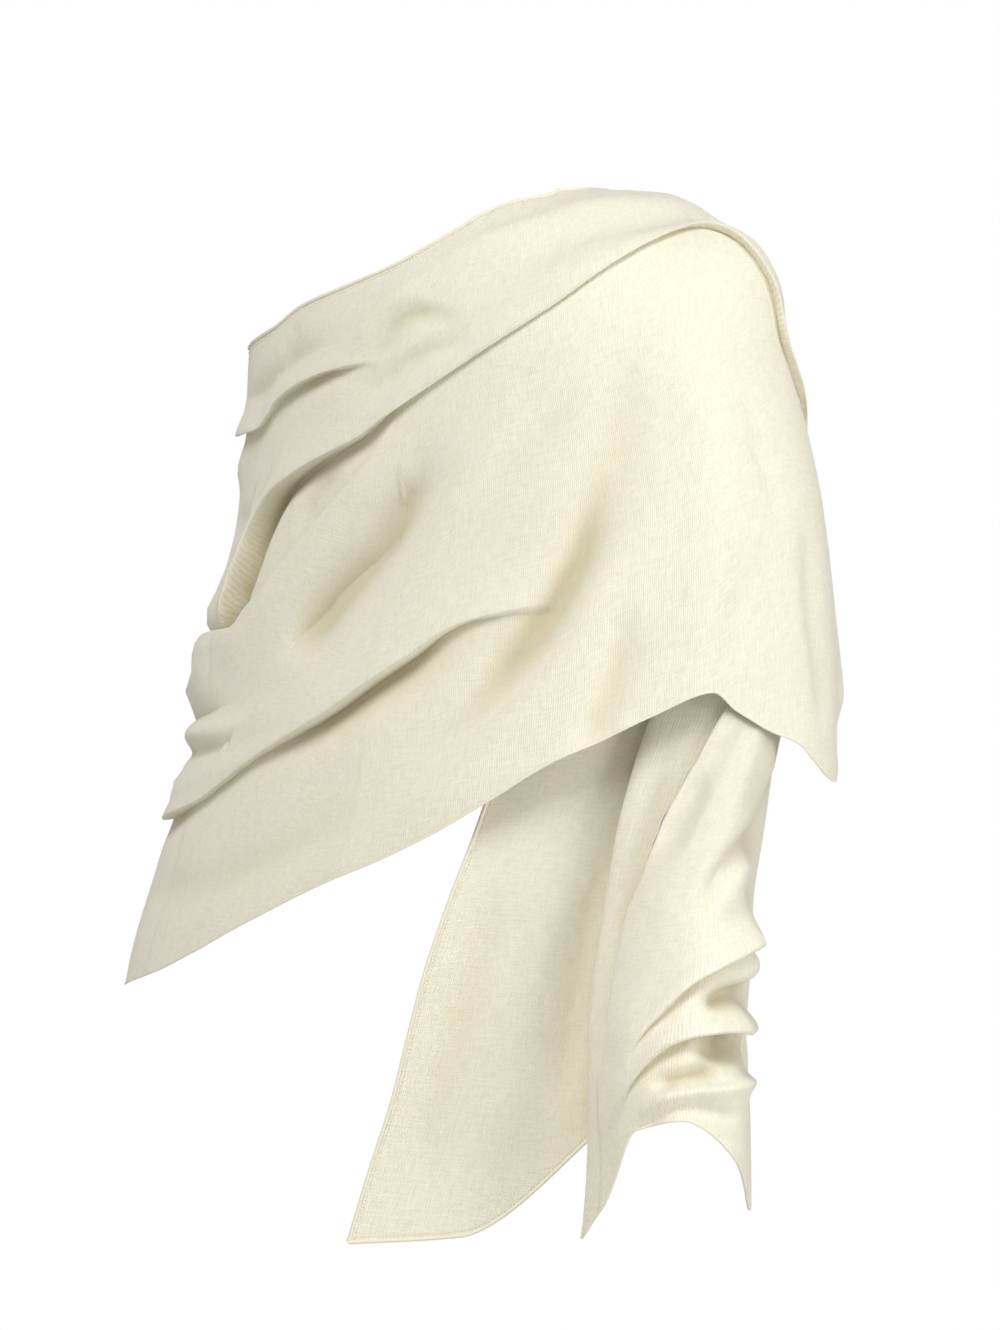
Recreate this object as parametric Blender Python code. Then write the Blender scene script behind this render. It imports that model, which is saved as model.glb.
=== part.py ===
"""Cashmere shawl, worn wound once round the shoulders and over both arms.

One rectangle of cloth is followed from its hemmed front end to its thrown end:
front_tail, left_arm_wrap, back_drape, right_arm_wrap, front_drape, shoulder_fall.
Each stretch is a thin closed wall, and the stretches meet at narrow seams.

Metres, +Z up. The wearer faces -Y and the wearer's left is +X. The origin is on top
of the left shoulder, where the cloth hangs from it.
"""

import math
from collections import namedtuple

import bpy
import numpy as np

# Driving sizes, in metres
CLOTH_WALL = 0.0012
SEAM_GAP = 0.0003
STEP_MM = 0.001

# The tables below are in millimetres from the shoulder point, laid out along one line of sight:
# "across" runs to the right of a viewer who stands VIEW_TURN round to the wearer's left,
# "height" runs up, and "near" runs toward that viewer from the middle of the body.
VIEW_TURN = math.radians(35.0)
SHOULDER_NEAR = 80.0

# Turn about the body: 0 is the outline over the left arm, 90 faces the viewer,
# 180 is the outline over the right arm and 270 is the back.
TURN_RADIUS = 190.0

Ring = namedtuple("Ring", "height left right front back skew")
RINGS = (
    Ring(height=17, left=-173, right=-48, front=58, back=60, skew=0),
    Ring(height=15, left=-182, right=-15, front=68, back=70, skew=20),
    Ring(height=7, left=-195, right=5, front=85, back=85, skew=38),
    Ring(height=-3, left=-214, right=19, front=98, back=98, skew=50),
    Ring(height=-12, left=-230, right=36, front=108, back=105, skew=58),
    Ring(height=-27, left=-248, right=48, front=120, back=115, skew=66),
    Ring(height=-49, left=-260, right=56, front=130, back=123, skew=70),
    Ring(height=-76, left=-265, right=58, front=137, back=130, skew=72),
    Ring(height=-115, left=-267, right=67, front=142, back=135, skew=72),
    Ring(height=-177, left=-272, right=80, front=146, back=140, skew=70),
    Ring(height=-229, left=-284, right=85, front=148, back=143, skew=68),
    Ring(height=-289, left=-296, right=88, front=150, back=147, skew=66),
    Ring(height=-336, left=-306, right=88, front=151, back=149, skew=66),
    Ring(height=-366, left=-314, right=88, front=152, back=150, skew=66),
    Ring(height=-461, left=-340, right=85, front=154, back=150, skew=64),
    Ring(height=-560, left=-350, right=80, front=154, back=150, skew=62),
)

# Upper and lower edge of the wound cloth at stations round the body
Edge = namedtuple("Edge", "turn top bottom")
EDGES = (
    Edge(turn=-64, top=6, bottom=-62),
    Edge(turn=-45, top=13, bottom=-150),
    Edge(turn=-25, top=16, bottom=-241),
    Edge(turn=-10, top=17, bottom=-304),
    Edge(turn=0, top=17, bottom=-328),
    Edge(turn=8, top=17, bottom=-337),
    Edge(turn=15, top=17, bottom=-334),
    Edge(turn=22, top=17, bottom=-325),
    Edge(turn=29, top=16.9, bottom=-314),
    Edge(turn=38, top=16.7, bottom=-307),
    Edge(turn=47, top=16.4, bottom=-295),
    Edge(turn=53, top=16.1, bottom=-284),
    Edge(turn=65, top=15.5, bottom=-298),
    Edge(turn=74, top=15, bottom=-312),
    Edge(turn=83, top=12, bottom=-326),
    Edge(turn=93, top=9, bottom=-349),
    Edge(turn=101, top=4, bottom=-367),
    Edge(turn=110, top=-11, bottom=-384),
    Edge(turn=119, top=-28, bottom=-398),
    Edge(turn=133, top=-43, bottom=-421),
    Edge(turn=145, top=-53, bottom=-440),
    Edge(turn=155, top=-65, bottom=-451),
    Edge(turn=168, top=-72, bottom=-458),
    Edge(turn=180, top=-76, bottom=-461),
    Edge(turn=200, top=-77, bottom=-440),
    Edge(turn=230, top=-70, bottom=-398),
    Edge(turn=255, top=-64, bottom=-356),
    Edge(turn=270, top=-62, bottom=-336),
    Edge(turn=282, top=-68, bottom=-350),
    Edge(turn=300, top=-96, bottom=-405),
    Edge(turn=320, top=-160, bottom=-474),
    Edge(turn=334, top=-211, bottom=-512),
)

# Where one stretch of the wound cloth ends and the next begins, in degrees of turn
END_TURN = -64.0
SHOULDER_SEAM_TURN = -14.0
RIGHT_FRONT_SEAM_TURN = 144.0
RIGHT_BACK_SEAM_TURN = 205.0
BACK_END_TURN = 334.0
# The two walls meet here at an angle, so their outer faces stand a little further apart, in millimetres
BACK_END_GAP = 0.7
# The back passes inside the thrown end, and gathers to the left arm past its own turn
UNDER_START_TURN = 262.0
UNDER_BLEND = 30.0
UNDER_INSET = 14.0
GATHER_TURN = 272.0

# Folds with a rolled lip. Stations are (across, height) from the right end of the lip to the left,
# and it runs on over the right and the left outline through stations of (turn, height).
# lift: how far the roll stands out; lean: how far it hangs over; above and below: widths of the two sides;
# groove: depth of the hollow under the lip; fade: share of the length over which each end dies out.
Lip = namedtuple(
    "Lip", "name past_right stations past_left lift lean above below groove fade_right fade_left")
LIPS = (
    Lip("upper_roll", (), ((-186, -84), (-206, -92), (-226, -99), (-240, -108), (-251, -121), (-260, -129)),
        ((182, -132), (192, -128), (203, -120)),
        lift=7, lean=4, above=13, below=7, groove=2, fade_right=0.2, fade_left=0.25),
    Lip("band_roll", ((-10, -138), (1, -108)),
        ((54, -76), (47, -44), (35, -24), (20, -12), (2, -8), (-21, -16), (-51, -33),
         (-85, -57), (-120, -79), (-152, -100), (-194, -128), (-231, -151), (-247, -165),
         (-258, -186), (-269, -215), (-279, -240)),
        ((182, -246), (192, -238), (203, -222)),
        lift=10, lean=3, above=17, below=8, groove=3, fade_right=0.16, fade_left=0.1),
    Lip("waist_roll", (), ((-80, -229), (-111, -236), (-142, -246), (-166, -262), (-189, -277), (-212, -294),
                           (-231, -306), (-259, -324), (-281, -341), (-300, -354)),
        ((178, -361), (190, -358), (203, -350)),
        lift=9, lean=4, above=17, below=8, groove=3, fade_right=0.2, fade_left=0.16),
)

# Soft folds: a rounded ridge where lift is positive, a rounded hollow where it is negative.
# Stations are (across, height), then (turn, height) past the left outline.
Soft = namedtuple("Soft", "name stations past_left lift half_width fade_start fade_end")
SOFT_FOLDS = (
    Soft("arm_pocket", ((-226, -168), (-243, -186), (-254, -205), (-267, -229)), ((180, -252), (192, -248)),
         lift=-5, half_width=11, fade_start=0.25, fade_end=0.3),
    Soft("chest_roll", ((-165, -140), (-200, -182), (-235, -223), (-265, -257), (-288, -283)),
         ((184, -292), (198, -284), (214, -268)), lift=9, half_width=20, fade_start=0.35, fade_end=0.3),
    Soft("chest_hollow", ((-140, -140), (-176, -180), (-203, -212), (-225, -240), (-243, -270)), (),
         lift=-6, half_width=17, fade_start=0.35, fade_end=0.3),
    Soft("elbow_tuck", ((-248, -279), (-270, -289), (-290, -297)), ((184, -300), (198, -296)),
         lift=-5, half_width=9, fade_start=0.35, fade_end=0.35),
    Soft("elbow_ridge", ((-231, -287), (-251, -296), (-271, -305), (-292, -309)), ((186, -311), (200, -306)),
         lift=5, half_width=10, fade_start=0.35, fade_end=0.35),
    Soft("forearm_tuck", ((-262, -309), (-283, -317), (-298, -320)), ((186, -321), (200, -317)),
         lift=-4, half_width=8, fade_start=0.35, fade_end=0.35),
    Soft("forearm_ridge", ((-247, -315), (-269, -322), (-288, -328), (-302, -335)),
         ((188, -336), (202, -332)), lift=5, half_width=10, fade_start=0.35, fade_end=0.35),
    Soft("shoulder_hollow", ((-24, -51), (-42, -122), (-54, -182), (-80, -237), (-101, -266), (-144, -298)),
         (), lift=-6, half_width=22, fade_start=0.3, fade_end=0.2),
    Soft("shoulder_ridge", ((4, -40), (10, -120), (14, -200), (9, -286)), (),
         lift=6, half_width=32, fade_start=0.35, fade_end=0.0),
    Soft("hip_hollow", ((-36, -225), (-45, -269), (-55, -305)), (),
         lift=-5, half_width=14, fade_start=0.4, fade_end=0.0),
    Soft("sleeve_crease", ((30, -115), (42, -150), (54, -190)), (),
         lift=-3, half_width=12, fade_start=0.4, fade_end=0.4),
)

# Soft folds on the hidden sides, with stations as (turn, height)
BACK_FOLDS = (
    Soft("back_roll_upper", (), ((186, -150), (210, -162), (240, -185), (270, -215), (298, -255)),
         lift=9, half_width=20, fade_start=0.15, fade_end=0.3),
    Soft("back_hollow_upper", (), ((188, -205), (210, -212), (240, -232), (268, -262), (296, -305)),
         lift=-6, half_width=18, fade_start=0.2, fade_end=0.3),
    Soft("back_roll_middle", (), ((200, -262), (225, -266), (250, -284), (275, -312), (300, -350)),
         lift=8, half_width=20, fade_start=0.2, fade_end=0.3),
    Soft("fall_ridge", (), ((-14, -40), (-16, -120), (-12, -240), (-4, -310)),
         lift=6, half_width=18, fade_start=0.3, fade_end=0.1),
    Soft("fall_hollow", (), ((-32, -40), (-34, -90), (-32, -170), (-24, -240)),
         lift=-3, half_width=16, fade_start=0.3, fade_end=0.1),
)

# Sections of the left sleeve and the front tail, as (across, near) at each named line.
# The tail's lines are hem, panel and pleat; the sleeve's lines run on from the pleat to the back seam.
Section = namedtuple("Section", "height hem panel pleat strip crease cuff front outer side seam")
SECTIONS = (
    Section(-240, hem=(-93, 126), panel=(-50, 130), pleat=(4, 119), strip=(-12, 137), crease=(30, 139),
            cuff=(44, 136), front=(54, 128), outer=(62, 105), side=(64, 62), seam=(57, 16)),
    Section(-289, hem=(-101, 127), panel=(-60, 130), pleat=(0, 119), strip=(-21, 138), crease=(22, 146),
            cuff=(36, 143), front=(46, 135), outer=(56, 112), side=(60, 66), seam=(55, 18)),
    Section(-325, hem=(-113, 128), panel=(-70, 130), pleat=(-8, 119), strip=(-33, 140), crease=(8, 153),
            cuff=(24, 156), front=(38, 152), outer=(50, 128), side=(53, 84), seam=(51, 22)),
    Section(-366, hem=(-127, 128), panel=(-84, 129), pleat=(-20, 118), strip=(-44, 142), crease=(-13, 158),
            cuff=(4, 168), front=(22, 166), outer=(37, 140), side=(39, 98), seam=(45, 30)),
    Section(-408, hem=(-143, 127), panel=(-97, 128), pleat=(-30, 117), strip=(-51, 144), crease=(-31, 162),
            cuff=(-12, 176), front=(12, 177), outer=(30, 152), side=(33, 108), seam=(38, 40)),
    Section(-449, hem=(-157, 126), panel=(-107, 127), pleat=(-37, 117), strip=(-57, 146), crease=(-42, 165),
            cuff=(-22, 184), front=(8, 188), outer=(35, 160), side=(38, 116), seam=(36, 50)),
    Section(-491, hem=(-168, 125), panel=(-115, 126), pleat=(-42, 116), strip=(-61, 148), crease=(-51, 167),
            cuff=(-34, 190), front=(0, 198), outer=(22, 170), side=(27, 126), seam=(33, 66)),
    Section(-527, hem=(-177, 124), panel=(-121, 125), pleat=(-46, 116), strip=(-61, 150), crease=(-54, 170),
            cuff=(-34, 196), front=(-6, 206), outer=(28, 178), side=(34, 132), seam=(35, 76)),
    Section(-564, hem=(-189, 123), panel=(-127, 124), pleat=(-52, 115), strip=(-62, 151), crease=(-52, 172),
            cuff=(-32, 200), front=(-4, 210), outer=(26, 182), side=(34, 136), seam=(36, 82)),
    Section(-620, hem=(-206, 121), panel=(-140, 122), pleat=(-60, 114), strip=(-66, 151), crease=(-56, 172),
            cuff=(-34, 200), front=(-4, 210), outer=(28, 182), side=(36, 138), seam=(38, 84)),
)

# Height of the upper and lower edge at each named line of the sleeve and the tail
Reach = namedtuple("Reach", "line top bottom")
SLEEVE_REACH = (
    Reach("pleat", -255, -538),
    Reach("strip", -255, -606),
    Reach("crease", -255, -588),
    Reach("cuff", -250, -541),
    Reach("front", -245, -535),
    Reach("outer", -240, -560),
    Reach("side", -225, -590),
    Reach("seam", -213, -512),
)
TAIL_REACH = (
    Reach("hem", -255, -610),
    Reach("panel", -255, -606),
    Reach("pleat", -255, -538),
)

# Diagonal creases of the sleeve, stations as (across, height)
SLEEVE_FOLDS = (
    Soft("sleeve_fan", ((4, -340), (-6, -357), (-13, -370)), (),
         lift=-3, half_width=7, fade_start=0.3, fade_end=0.3),
    Soft("elbow_sweep", ((33, -373), (20, -386), (3, -420)), (),
         lift=-4, half_width=9, fade_start=0.1, fade_end=0.4),
    Soft("forearm_sweep", ((33, -443), (11, -453), (-13, -475), (-29, -492)), (),
         lift=-5, half_width=9, fade_start=0.0, fade_end=0.3),
    Soft("wrist_sweep", ((22, -480), (11, -486), (-8, -492), (-24, -505), (-45, -531), (-56, -555)), (),
         lift=-6, half_width=9, fade_start=0.0, fade_end=0.3),
    Soft("wrist_roll", ((30, -503), (10, -508), (-10, -514), (-32, -530)), (),
         lift=5, half_width=10, fade_start=0.0, fade_end=0.3),
)

# The tail stops this share of its last panel short of the sleeve, which leaves the seam's gap
TAIL_SHORT = 0.009

# Grid steps
FRONT_COLUMNS = 38
RIGHT_ARM_COLUMNS = 15
BACK_COLUMNS = 24
FALL_COLUMNS = 12
SLEEVE_COLUMNS = 26
SLEEVE_ROWS = 16
TAIL_COLUMNS = 10
TAIL_ROWS = 12
BACK_ROWS = 15
# Rows between one anchor line and the next: upper edge, three lips, lower edge
ROWS_BETWEEN_LIPS = (2, 1, 6, 3)
LIP_ROWS_ABOVE = (1.7, 0.9, 0.4)
LIP_ROWS_BELOW = (0.5, 1.1, 2.2)

# Ivory cashmere, linear colour
IVORY = (0.86, 0.80, 0.66, 1.0)
CLOTH_ROUGHNESS = 0.85


def monotone_curve(knots, values, at):
    """Smooth curve through a table that never overshoots between its rows."""
    knots = np.asarray(knots, float)
    values = np.asarray(values, float)
    step = np.diff(knots)
    slope = np.diff(values) / step
    tangent = np.zeros_like(values)
    same_sign = slope[:-1] * slope[1:] > 0
    left_weight = 2 * step[1:] + step[:-1]
    right_weight = step[1:] + 2 * step[:-1]
    with np.errstate(divide="ignore", invalid="ignore"):
        mean = (left_weight + right_weight) / (left_weight / slope[:-1] + right_weight / slope[1:])
    tangent[1:-1] = np.where(same_sign, mean, 0.0)
    tangent[0] = slope[0]
    tangent[-1] = slope[-1]
    at = np.clip(np.asarray(at, float), knots[0], knots[-1])
    index = np.clip(np.searchsorted(knots, at, side="right") - 1, 0, len(step) - 1)
    width = step[index]
    part = (at - knots[index]) / width
    rise = values[index] * (1 + 2 * part) * (1 - part) ** 2 + values[index + 1] * part ** 2 * (3 - 2 * part)
    bend = width * (tangent[index] * part * (1 - part) ** 2 - tangent[index + 1] * part ** 2 * (1 - part))
    return rise + bend


def ease(value):
    """Smooth step from 0 to 1."""
    value = np.clip(value, 0.0, 1.0)
    return value * value * (3 - 2 * value)


def ring_column(name):
    return np.array([getattr(ring, name) for ring in RINGS], float)


# Distance down the cloth from the neck, measured along the outline over the left arm
RING_HEIGHTS = ring_column("height")
RING_REACH = np.concatenate(
    ([0.0], np.cumsum(np.hypot(np.diff(RING_HEIGHTS), np.diff(ring_column("right"))))))


def reach_at_height(height):
    """Distance down the cloth at which the rings have this height."""
    return monotone_curve(-RING_HEIGHTS, RING_REACH, -np.asarray(height, float))


def ring_value(name, reach):
    return monotone_curve(RING_REACH, ring_column(name), reach)


def edge_height(name, turn):
    turns = [edge.turn for edge in EDGES]
    return monotone_curve(turns, [getattr(edge, name) for edge in EDGES], turn)


def section_value(line, axis, height):
    heights = [-section.height for section in SECTIONS]
    values = [getattr(section, line)[axis] for section in SECTIONS]
    return monotone_curve(heights, values, -np.asarray(height, float))


def wound_point(turn, reach):
    """Point of the wound cloth before its folds, as (across, height, near)."""
    turn = np.asarray(turn, float)
    angle = np.radians(turn)
    left = ring_value("left", reach)
    right = ring_value("right", reach)
    height = monotone_curve(RING_REACH, RING_HEIGHTS, reach)
    sine = np.sin(angle)
    depth = np.where(sine > 0, ring_value("front", reach), ring_value("back", reach))
    inset = UNDER_INSET * ease((turn - UNDER_START_TURN) / UNDER_BLEND)
    across = (left + right) / 2 + ((right - left) / 2 - inset) * np.cos(angle)
    near = (depth - inset) * sine + ring_value("skew", reach) * np.cos(angle)
    gather_part = np.maximum((turn - GATHER_TURN) / (BACK_END_TURN - GATHER_TURN), 0.0)
    gather = gather_part ** 2 * (1.5 - 0.5 * gather_part)
    across = across + (section_value("seam", 0, height) - across) * gather
    near = near + (section_value("seam", 1, height) - near) * gather
    return np.stack([across, height, near], axis=-1)


def turn_of(across, reach):
    """Turn at which the viewer's side of the rings has this place across."""
    left = ring_value("left", reach)
    right = ring_value("right", reach)
    cosine = np.clip((across - (left + right) / 2) / ((right - left) / 2), -1.0, 1.0)
    return np.degrees(np.arccos(cosine))


def flat_stations(past_right, stations, past_left):
    """Stations of a fold as (distance round, distance down) on the cloth."""
    heights = [height for _, height in past_right + stations + past_left]
    reach = reach_at_height(heights)
    seen = slice(len(past_right), len(past_right) + len(stations))
    turn = np.array([turn for turn, _ in past_right + stations + past_left], float)
    turn[seen] = turn_of(turn[seen], reach[seen])
    return np.column_stack([np.radians(turn) * TURN_RADIUS, reach])


def lip_path(lip):
    return rounded_path(flat_stations(lip.past_right, lip.stations, lip.past_left))


def rounded_path(points, steps=6):
    """Smooth path through the points, as a denser list."""
    if len(points) < 3:
        return np.asarray(points, float)
    points = np.asarray(points, float)
    padded = np.vstack([2 * points[0] - points[1], points, 2 * points[-1] - points[-2]])
    path = []
    for index in range(1, len(padded) - 2):
        before, start, end, after = padded[index - 1:index + 3]
        for part in np.arange(steps) / steps:
            path.append(0.5 * (2 * start + (end - before) * part
                               + (2 * before - 5 * start + 4 * end - after) * part ** 2
                               + (3 * start - before - 3 * end + after) * part ** 3))
    path.append(padded[-2])
    return np.array(path)


def fold_offsets(path, round_place, down_place):
    """Distance to a fold's path, its sign, the share of its length, and the way across it."""
    points = np.stack([round_place, down_place], axis=-1)[..., None, :]
    starts = path[:-1]
    runs = np.diff(path, axis=0)
    lengths = np.hypot(runs[:, 0], runs[:, 1])
    share = np.clip(((points - starts) * runs).sum(-1) / lengths ** 2, 0.0, 1.0)
    gap = points - (starts + share[..., None] * runs)
    distance = np.hypot(gap[..., 0], gap[..., 1])
    nearest = distance.argmin(-1)
    pick = np.expand_dims(nearest, -1)
    shortest = np.take_along_axis(distance, pick, -1)[..., 0]
    share_here = np.take_along_axis(share, pick, -1)[..., 0]
    length_before = np.concatenate(([0.0], np.cumsum(lengths)))[nearest]
    along = (length_before + share_here * lengths[nearest]) / lengths.sum()
    unit = runs / lengths[:, None]
    # The way across points down the cloth
    across_way = np.stack([-unit[:, 1], unit[:, 0]], axis=-1)
    across_way = np.where(across_way[:, 1:] < 0, -across_way, across_way)[nearest]
    gap_here = np.take_along_axis(gap, pick[..., None], -2)[..., 0, :]
    signed = np.where((gap_here * across_way).sum(-1) < 0, -shortest, shortest)
    return signed, shortest, along, across_way


def bump(value):
    return np.exp(-value ** 2)


def fade(along, at_start, at_end):
    start = ease(along / at_start) if at_start > 0 else np.ones_like(along)
    end = ease((1 - along) / at_end) if at_end > 0 else np.ones_like(along)
    return start * end


def lip_shape(lip, signed):
    """How far a rolled lip stands out, and how far it is carried down the cloth."""
    side = np.where(signed < 0, lip.above, lip.below)
    out = lip.lift * bump(signed / side) - lip.groove * bump((signed - 1.7 * lip.below) / lip.below)
    lean_side = np.where(signed < 0, lip.above * 0.6, lip.below)
    down = lip.lean * bump(signed / lean_side)
    down = down - 0.6 * lip.lean * bump((signed - 1.3 * lip.below) / (0.8 * lip.below))
    return out, down


def unit_vectors(vectors):
    return vectors / np.linalg.norm(vectors, axis=-1, keepdims=True)


def folded_wound_point(turn, reach):
    """Point of the wound cloth with its folds, as (across, height, near)."""
    small = 0.5
    base = wound_point(turn, reach)
    turn_step = math.degrees(small / TURN_RADIUS)
    way_round = unit_vectors(base - wound_point(turn - turn_step, reach))
    way_down = unit_vectors(wound_point(turn, reach + small) - base)
    way_out = unit_vectors(np.cross(way_round, way_down))
    round_place = np.radians(turn) * TURN_RADIUS
    out = np.zeros_like(round_place)
    slide = np.zeros(round_place.shape + (2,))
    for lip in LIPS:
        signed, _, along, across_way = fold_offsets(lip_path(lip), round_place, reach)
        strength = fade(along, lip.fade_right, lip.fade_left)
        stand, down = lip_shape(lip, signed)
        out += stand * strength
        slide += across_way * (down * strength)[..., None]
    for fold in SOFT_FOLDS + BACK_FOLDS:
        path = rounded_path(flat_stations((), fold.stations, fold.past_left))
        _, shortest, along, _ = fold_offsets(path, round_place, reach)
        out += fold.lift * bump(shortest / fold.half_width) * fade(along, fold.fade_start, fold.fade_end)
    return base + way_out * out[..., None] + way_round * slide[..., :1] + way_down * slide[..., 1:]


def lip_line(lip, turn):
    """Distance down the cloth of a lip at this turn, carried level past its ends."""
    path = lip_path(lip)
    turns = np.degrees(path[:, 0] / TURN_RADIUS)
    order = np.argsort(turns, kind="stable")
    return np.interp(turn, turns[order], path[order, 1])


def anchored_rows(turn):
    """Rows down the cloth at one turn, drawn close together along each lip."""
    top = float(reach_at_height(edge_height("top", turn)))
    bottom = float(reach_at_height(edge_height("bottom", turn)))
    lip_places = [float(lip_line(lip, turn)) for lip in LIPS]
    upper, band, waist = lip_places
    band = min(max(band, top + 12), bottom - 30)
    upper = min(upper, band - 0.35 * (band - top))
    upper = max(upper, top + 0.35 * (band - top))
    waist = min(max(waist, band + 0.3 * (bottom - band)), bottom - 0.25 * (bottom - band))
    places = (top, upper, band, waist, bottom)
    rows = [top]
    for index, fillers in enumerate(ROWS_BETWEEN_LIPS):
        start, end = places[index], places[index + 1]
        below = [value * LIPS[index - 1].below for value in LIP_ROWS_BELOW] if index > 0 else []
        above = [value * LIPS[index].above for value in LIP_ROWS_ABOVE] if index < len(LIPS) else []
        room = end - start
        needed = (below[-1] if below else 0.0) + (above[0] if above else 0.0)
        squeeze = min(1.0, 0.7 * room / needed) if needed > 0 else 1.0
        rows_below = [start + value * squeeze for value in below]
        rows_above = [end - value * squeeze for value in above]
        first = rows_below[-1] if rows_below else start
        last = rows_above[0] if rows_above else end
        between = [first + (last - first) * (step + 1) / (fillers + 1) for step in range(fillers)]
        rows.extend(rows_below + between + rows_above + [end])
    return np.array(rows)


def wound_grid(first_turn, last_turn, columns, evenly=0):
    """Grid of points of the wound cloth between two turns, columns by rows, with a guard column each end."""
    step = (last_turn - first_turn) / columns
    turns = first_turn + step * np.arange(-1, columns + 2)
    reaches = []
    for turn in turns:
        if evenly:
            top = float(reach_at_height(edge_height("top", turn)))
            bottom = float(reach_at_height(edge_height("bottom", turn)))
            reaches.append(np.linspace(top, bottom, evenly + 1))
        else:
            reaches.append(anchored_rows(turn))
    reaches = np.array(reaches)
    turn_grid = np.repeat(turns[:, None], reaches.shape[1], axis=1)
    return folded_wound_point(turn_grid, reaches)


def line_grid(reach_rows, columns, rows, short_of_end=0.0):
    """Grid of points across the sleeve or the tail, through its named lines, from the back to the front."""
    names = [row.line for row in reach_rows]
    places = np.linspace(len(names) - 1 - short_of_end, 0, columns + 1)
    knots = np.arange(len(names))
    top = monotone_curve(knots, [row.top for row in reach_rows], places)
    bottom = monotone_curve(knots, [row.bottom for row in reach_rows], places)
    share = np.linspace(0, 1, rows + 1)
    height = top[:, None] + (bottom - top)[:, None] * share
    grid = np.zeros(height.shape + (3,))
    for column, place in enumerate(places):
        for row in range(rows + 1):
            across = [float(section_value(name, 0, height[column, row])) for name in names]
            near = [float(section_value(name, 1, height[column, row])) for name in names]
            grid[column, row] = (soft_through(across, place), height[column, row], soft_through(near, place))
    for fold in SLEEVE_FOLDS:
        path = rounded_path(np.array(fold.stations, float))
        _, shortest, along, _ = fold_offsets(path, grid[..., 0], grid[..., 1])
        facing = ease((grid[..., 2] - 100) / 60)
        shift = fold.lift * bump(shortest / fold.half_width) * fade(along, fold.fade_start, fold.fade_end)
        grid[..., 2] += shift * facing
    return grid


def soft_through(values, place):
    """Value on a smooth curve through evenly spaced values."""
    last = len(values) - 1
    index = min(int(place), last - 1)
    part = place - index
    before = values[index - 1] if index > 0 else 2 * values[0] - values[1]
    after = values[index + 2] if index + 2 <= last else 2 * values[last] - values[last - 1]
    start, end = values[index], values[index + 1]
    return 0.5 * (2 * start + (end - before) * part + (2 * before - 5 * start + 4 * end - after) * part ** 2
                  + (3 * start - before - 3 * end + after) * part ** 3)


def to_world(grid):
    """Table coordinates to metres in the wearer's frame."""
    across = grid[..., 0] * STEP_MM
    height = grid[..., 1] * STEP_MM
    near = (grid[..., 2] - SHOULDER_NEAR) * STEP_MM
    x = across * math.cos(VIEW_TURN) + near * math.sin(VIEW_TURN)
    y = across * math.sin(VIEW_TURN) - near * math.cos(VIEW_TURN)
    return np.stack([x, y, height], axis=-1)


def grid_normals(points):
    along = np.gradient(points, axis=0)
    down = np.gradient(points, axis=1)
    return unit_vectors(np.cross(along, down))


def wall_mesh(name, points, guards):
    """Closed wall of cloth: the grid's points outside, and the same points moved in by the wall.

    Where there are guard columns, one at each end, they only set the wall's direction at a seam.
    """
    inner = points - grid_normals(points) * CLOTH_WALL
    if guards:
        points = points[1:-1]
        inner = inner[1:-1]
    columns, rows = points.shape[:2]
    vertices = np.concatenate([points.reshape(-1, 3), inner.reshape(-1, 3)])
    offset = columns * rows
    faces = []

    def index(column, row):
        return column * rows + row

    for column in range(columns - 1):
        for row in range(rows - 1):
            corners = [index(column, row), index(column + 1, row),
                       index(column + 1, row + 1), index(column, row + 1)]
            first, second, third, fourth = vertices[corners]
            # Both sides are split along the quad's shorter diagonal, so that they stay parallel
            if np.linalg.norm(third - first) > np.linalg.norm(fourth - second):
                corners = corners[1:] + corners[:1]
            for triangle in ((corners[0], corners[1], corners[2]), (corners[0], corners[2], corners[3])):
                faces.append(triangle)
                faces.append(tuple(offset + corner for corner in reversed(triangle)))
    rim = [index(column, 0) for column in range(columns)]
    rim += [index(columns - 1, row) for row in range(1, rows)]
    rim += [index(column, rows - 1) for column in range(columns - 2, -1, -1)]
    rim += [index(0, row) for row in range(rows - 2, 0, -1)]
    for start, end in zip(rim, rim[1:] + rim[:1]):
        faces.append((end, start, offset + start, offset + end))
    mesh = bpy.data.meshes.new(name)
    mesh.from_pydata([tuple(vertex) for vertex in vertices], [], faces)
    mesh.validate()
    mesh.shade_smooth()
    return mesh


def cloth_material(name):
    material = bpy.data.materials.new(name)
    material.use_nodes = True
    shader = material.node_tree.nodes["Principled BSDF"]
    shader.inputs["Base Color"].default_value = IVORY
    shader.inputs["Roughness"].default_value = CLOTH_ROUGHNESS
    shader.inputs["Metallic"].default_value = 0.0
    return material


def add_stretch(name, grid, guards=False):
    """One named stretch of the shawl as an object of its own."""
    mesh = wall_mesh(name, to_world(grid), guards)
    mesh.materials.append(cloth_material(name))
    stretch = bpy.data.objects.new(name, mesh)
    bpy.context.scene.collection.objects.link(stretch)
    return stretch


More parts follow.
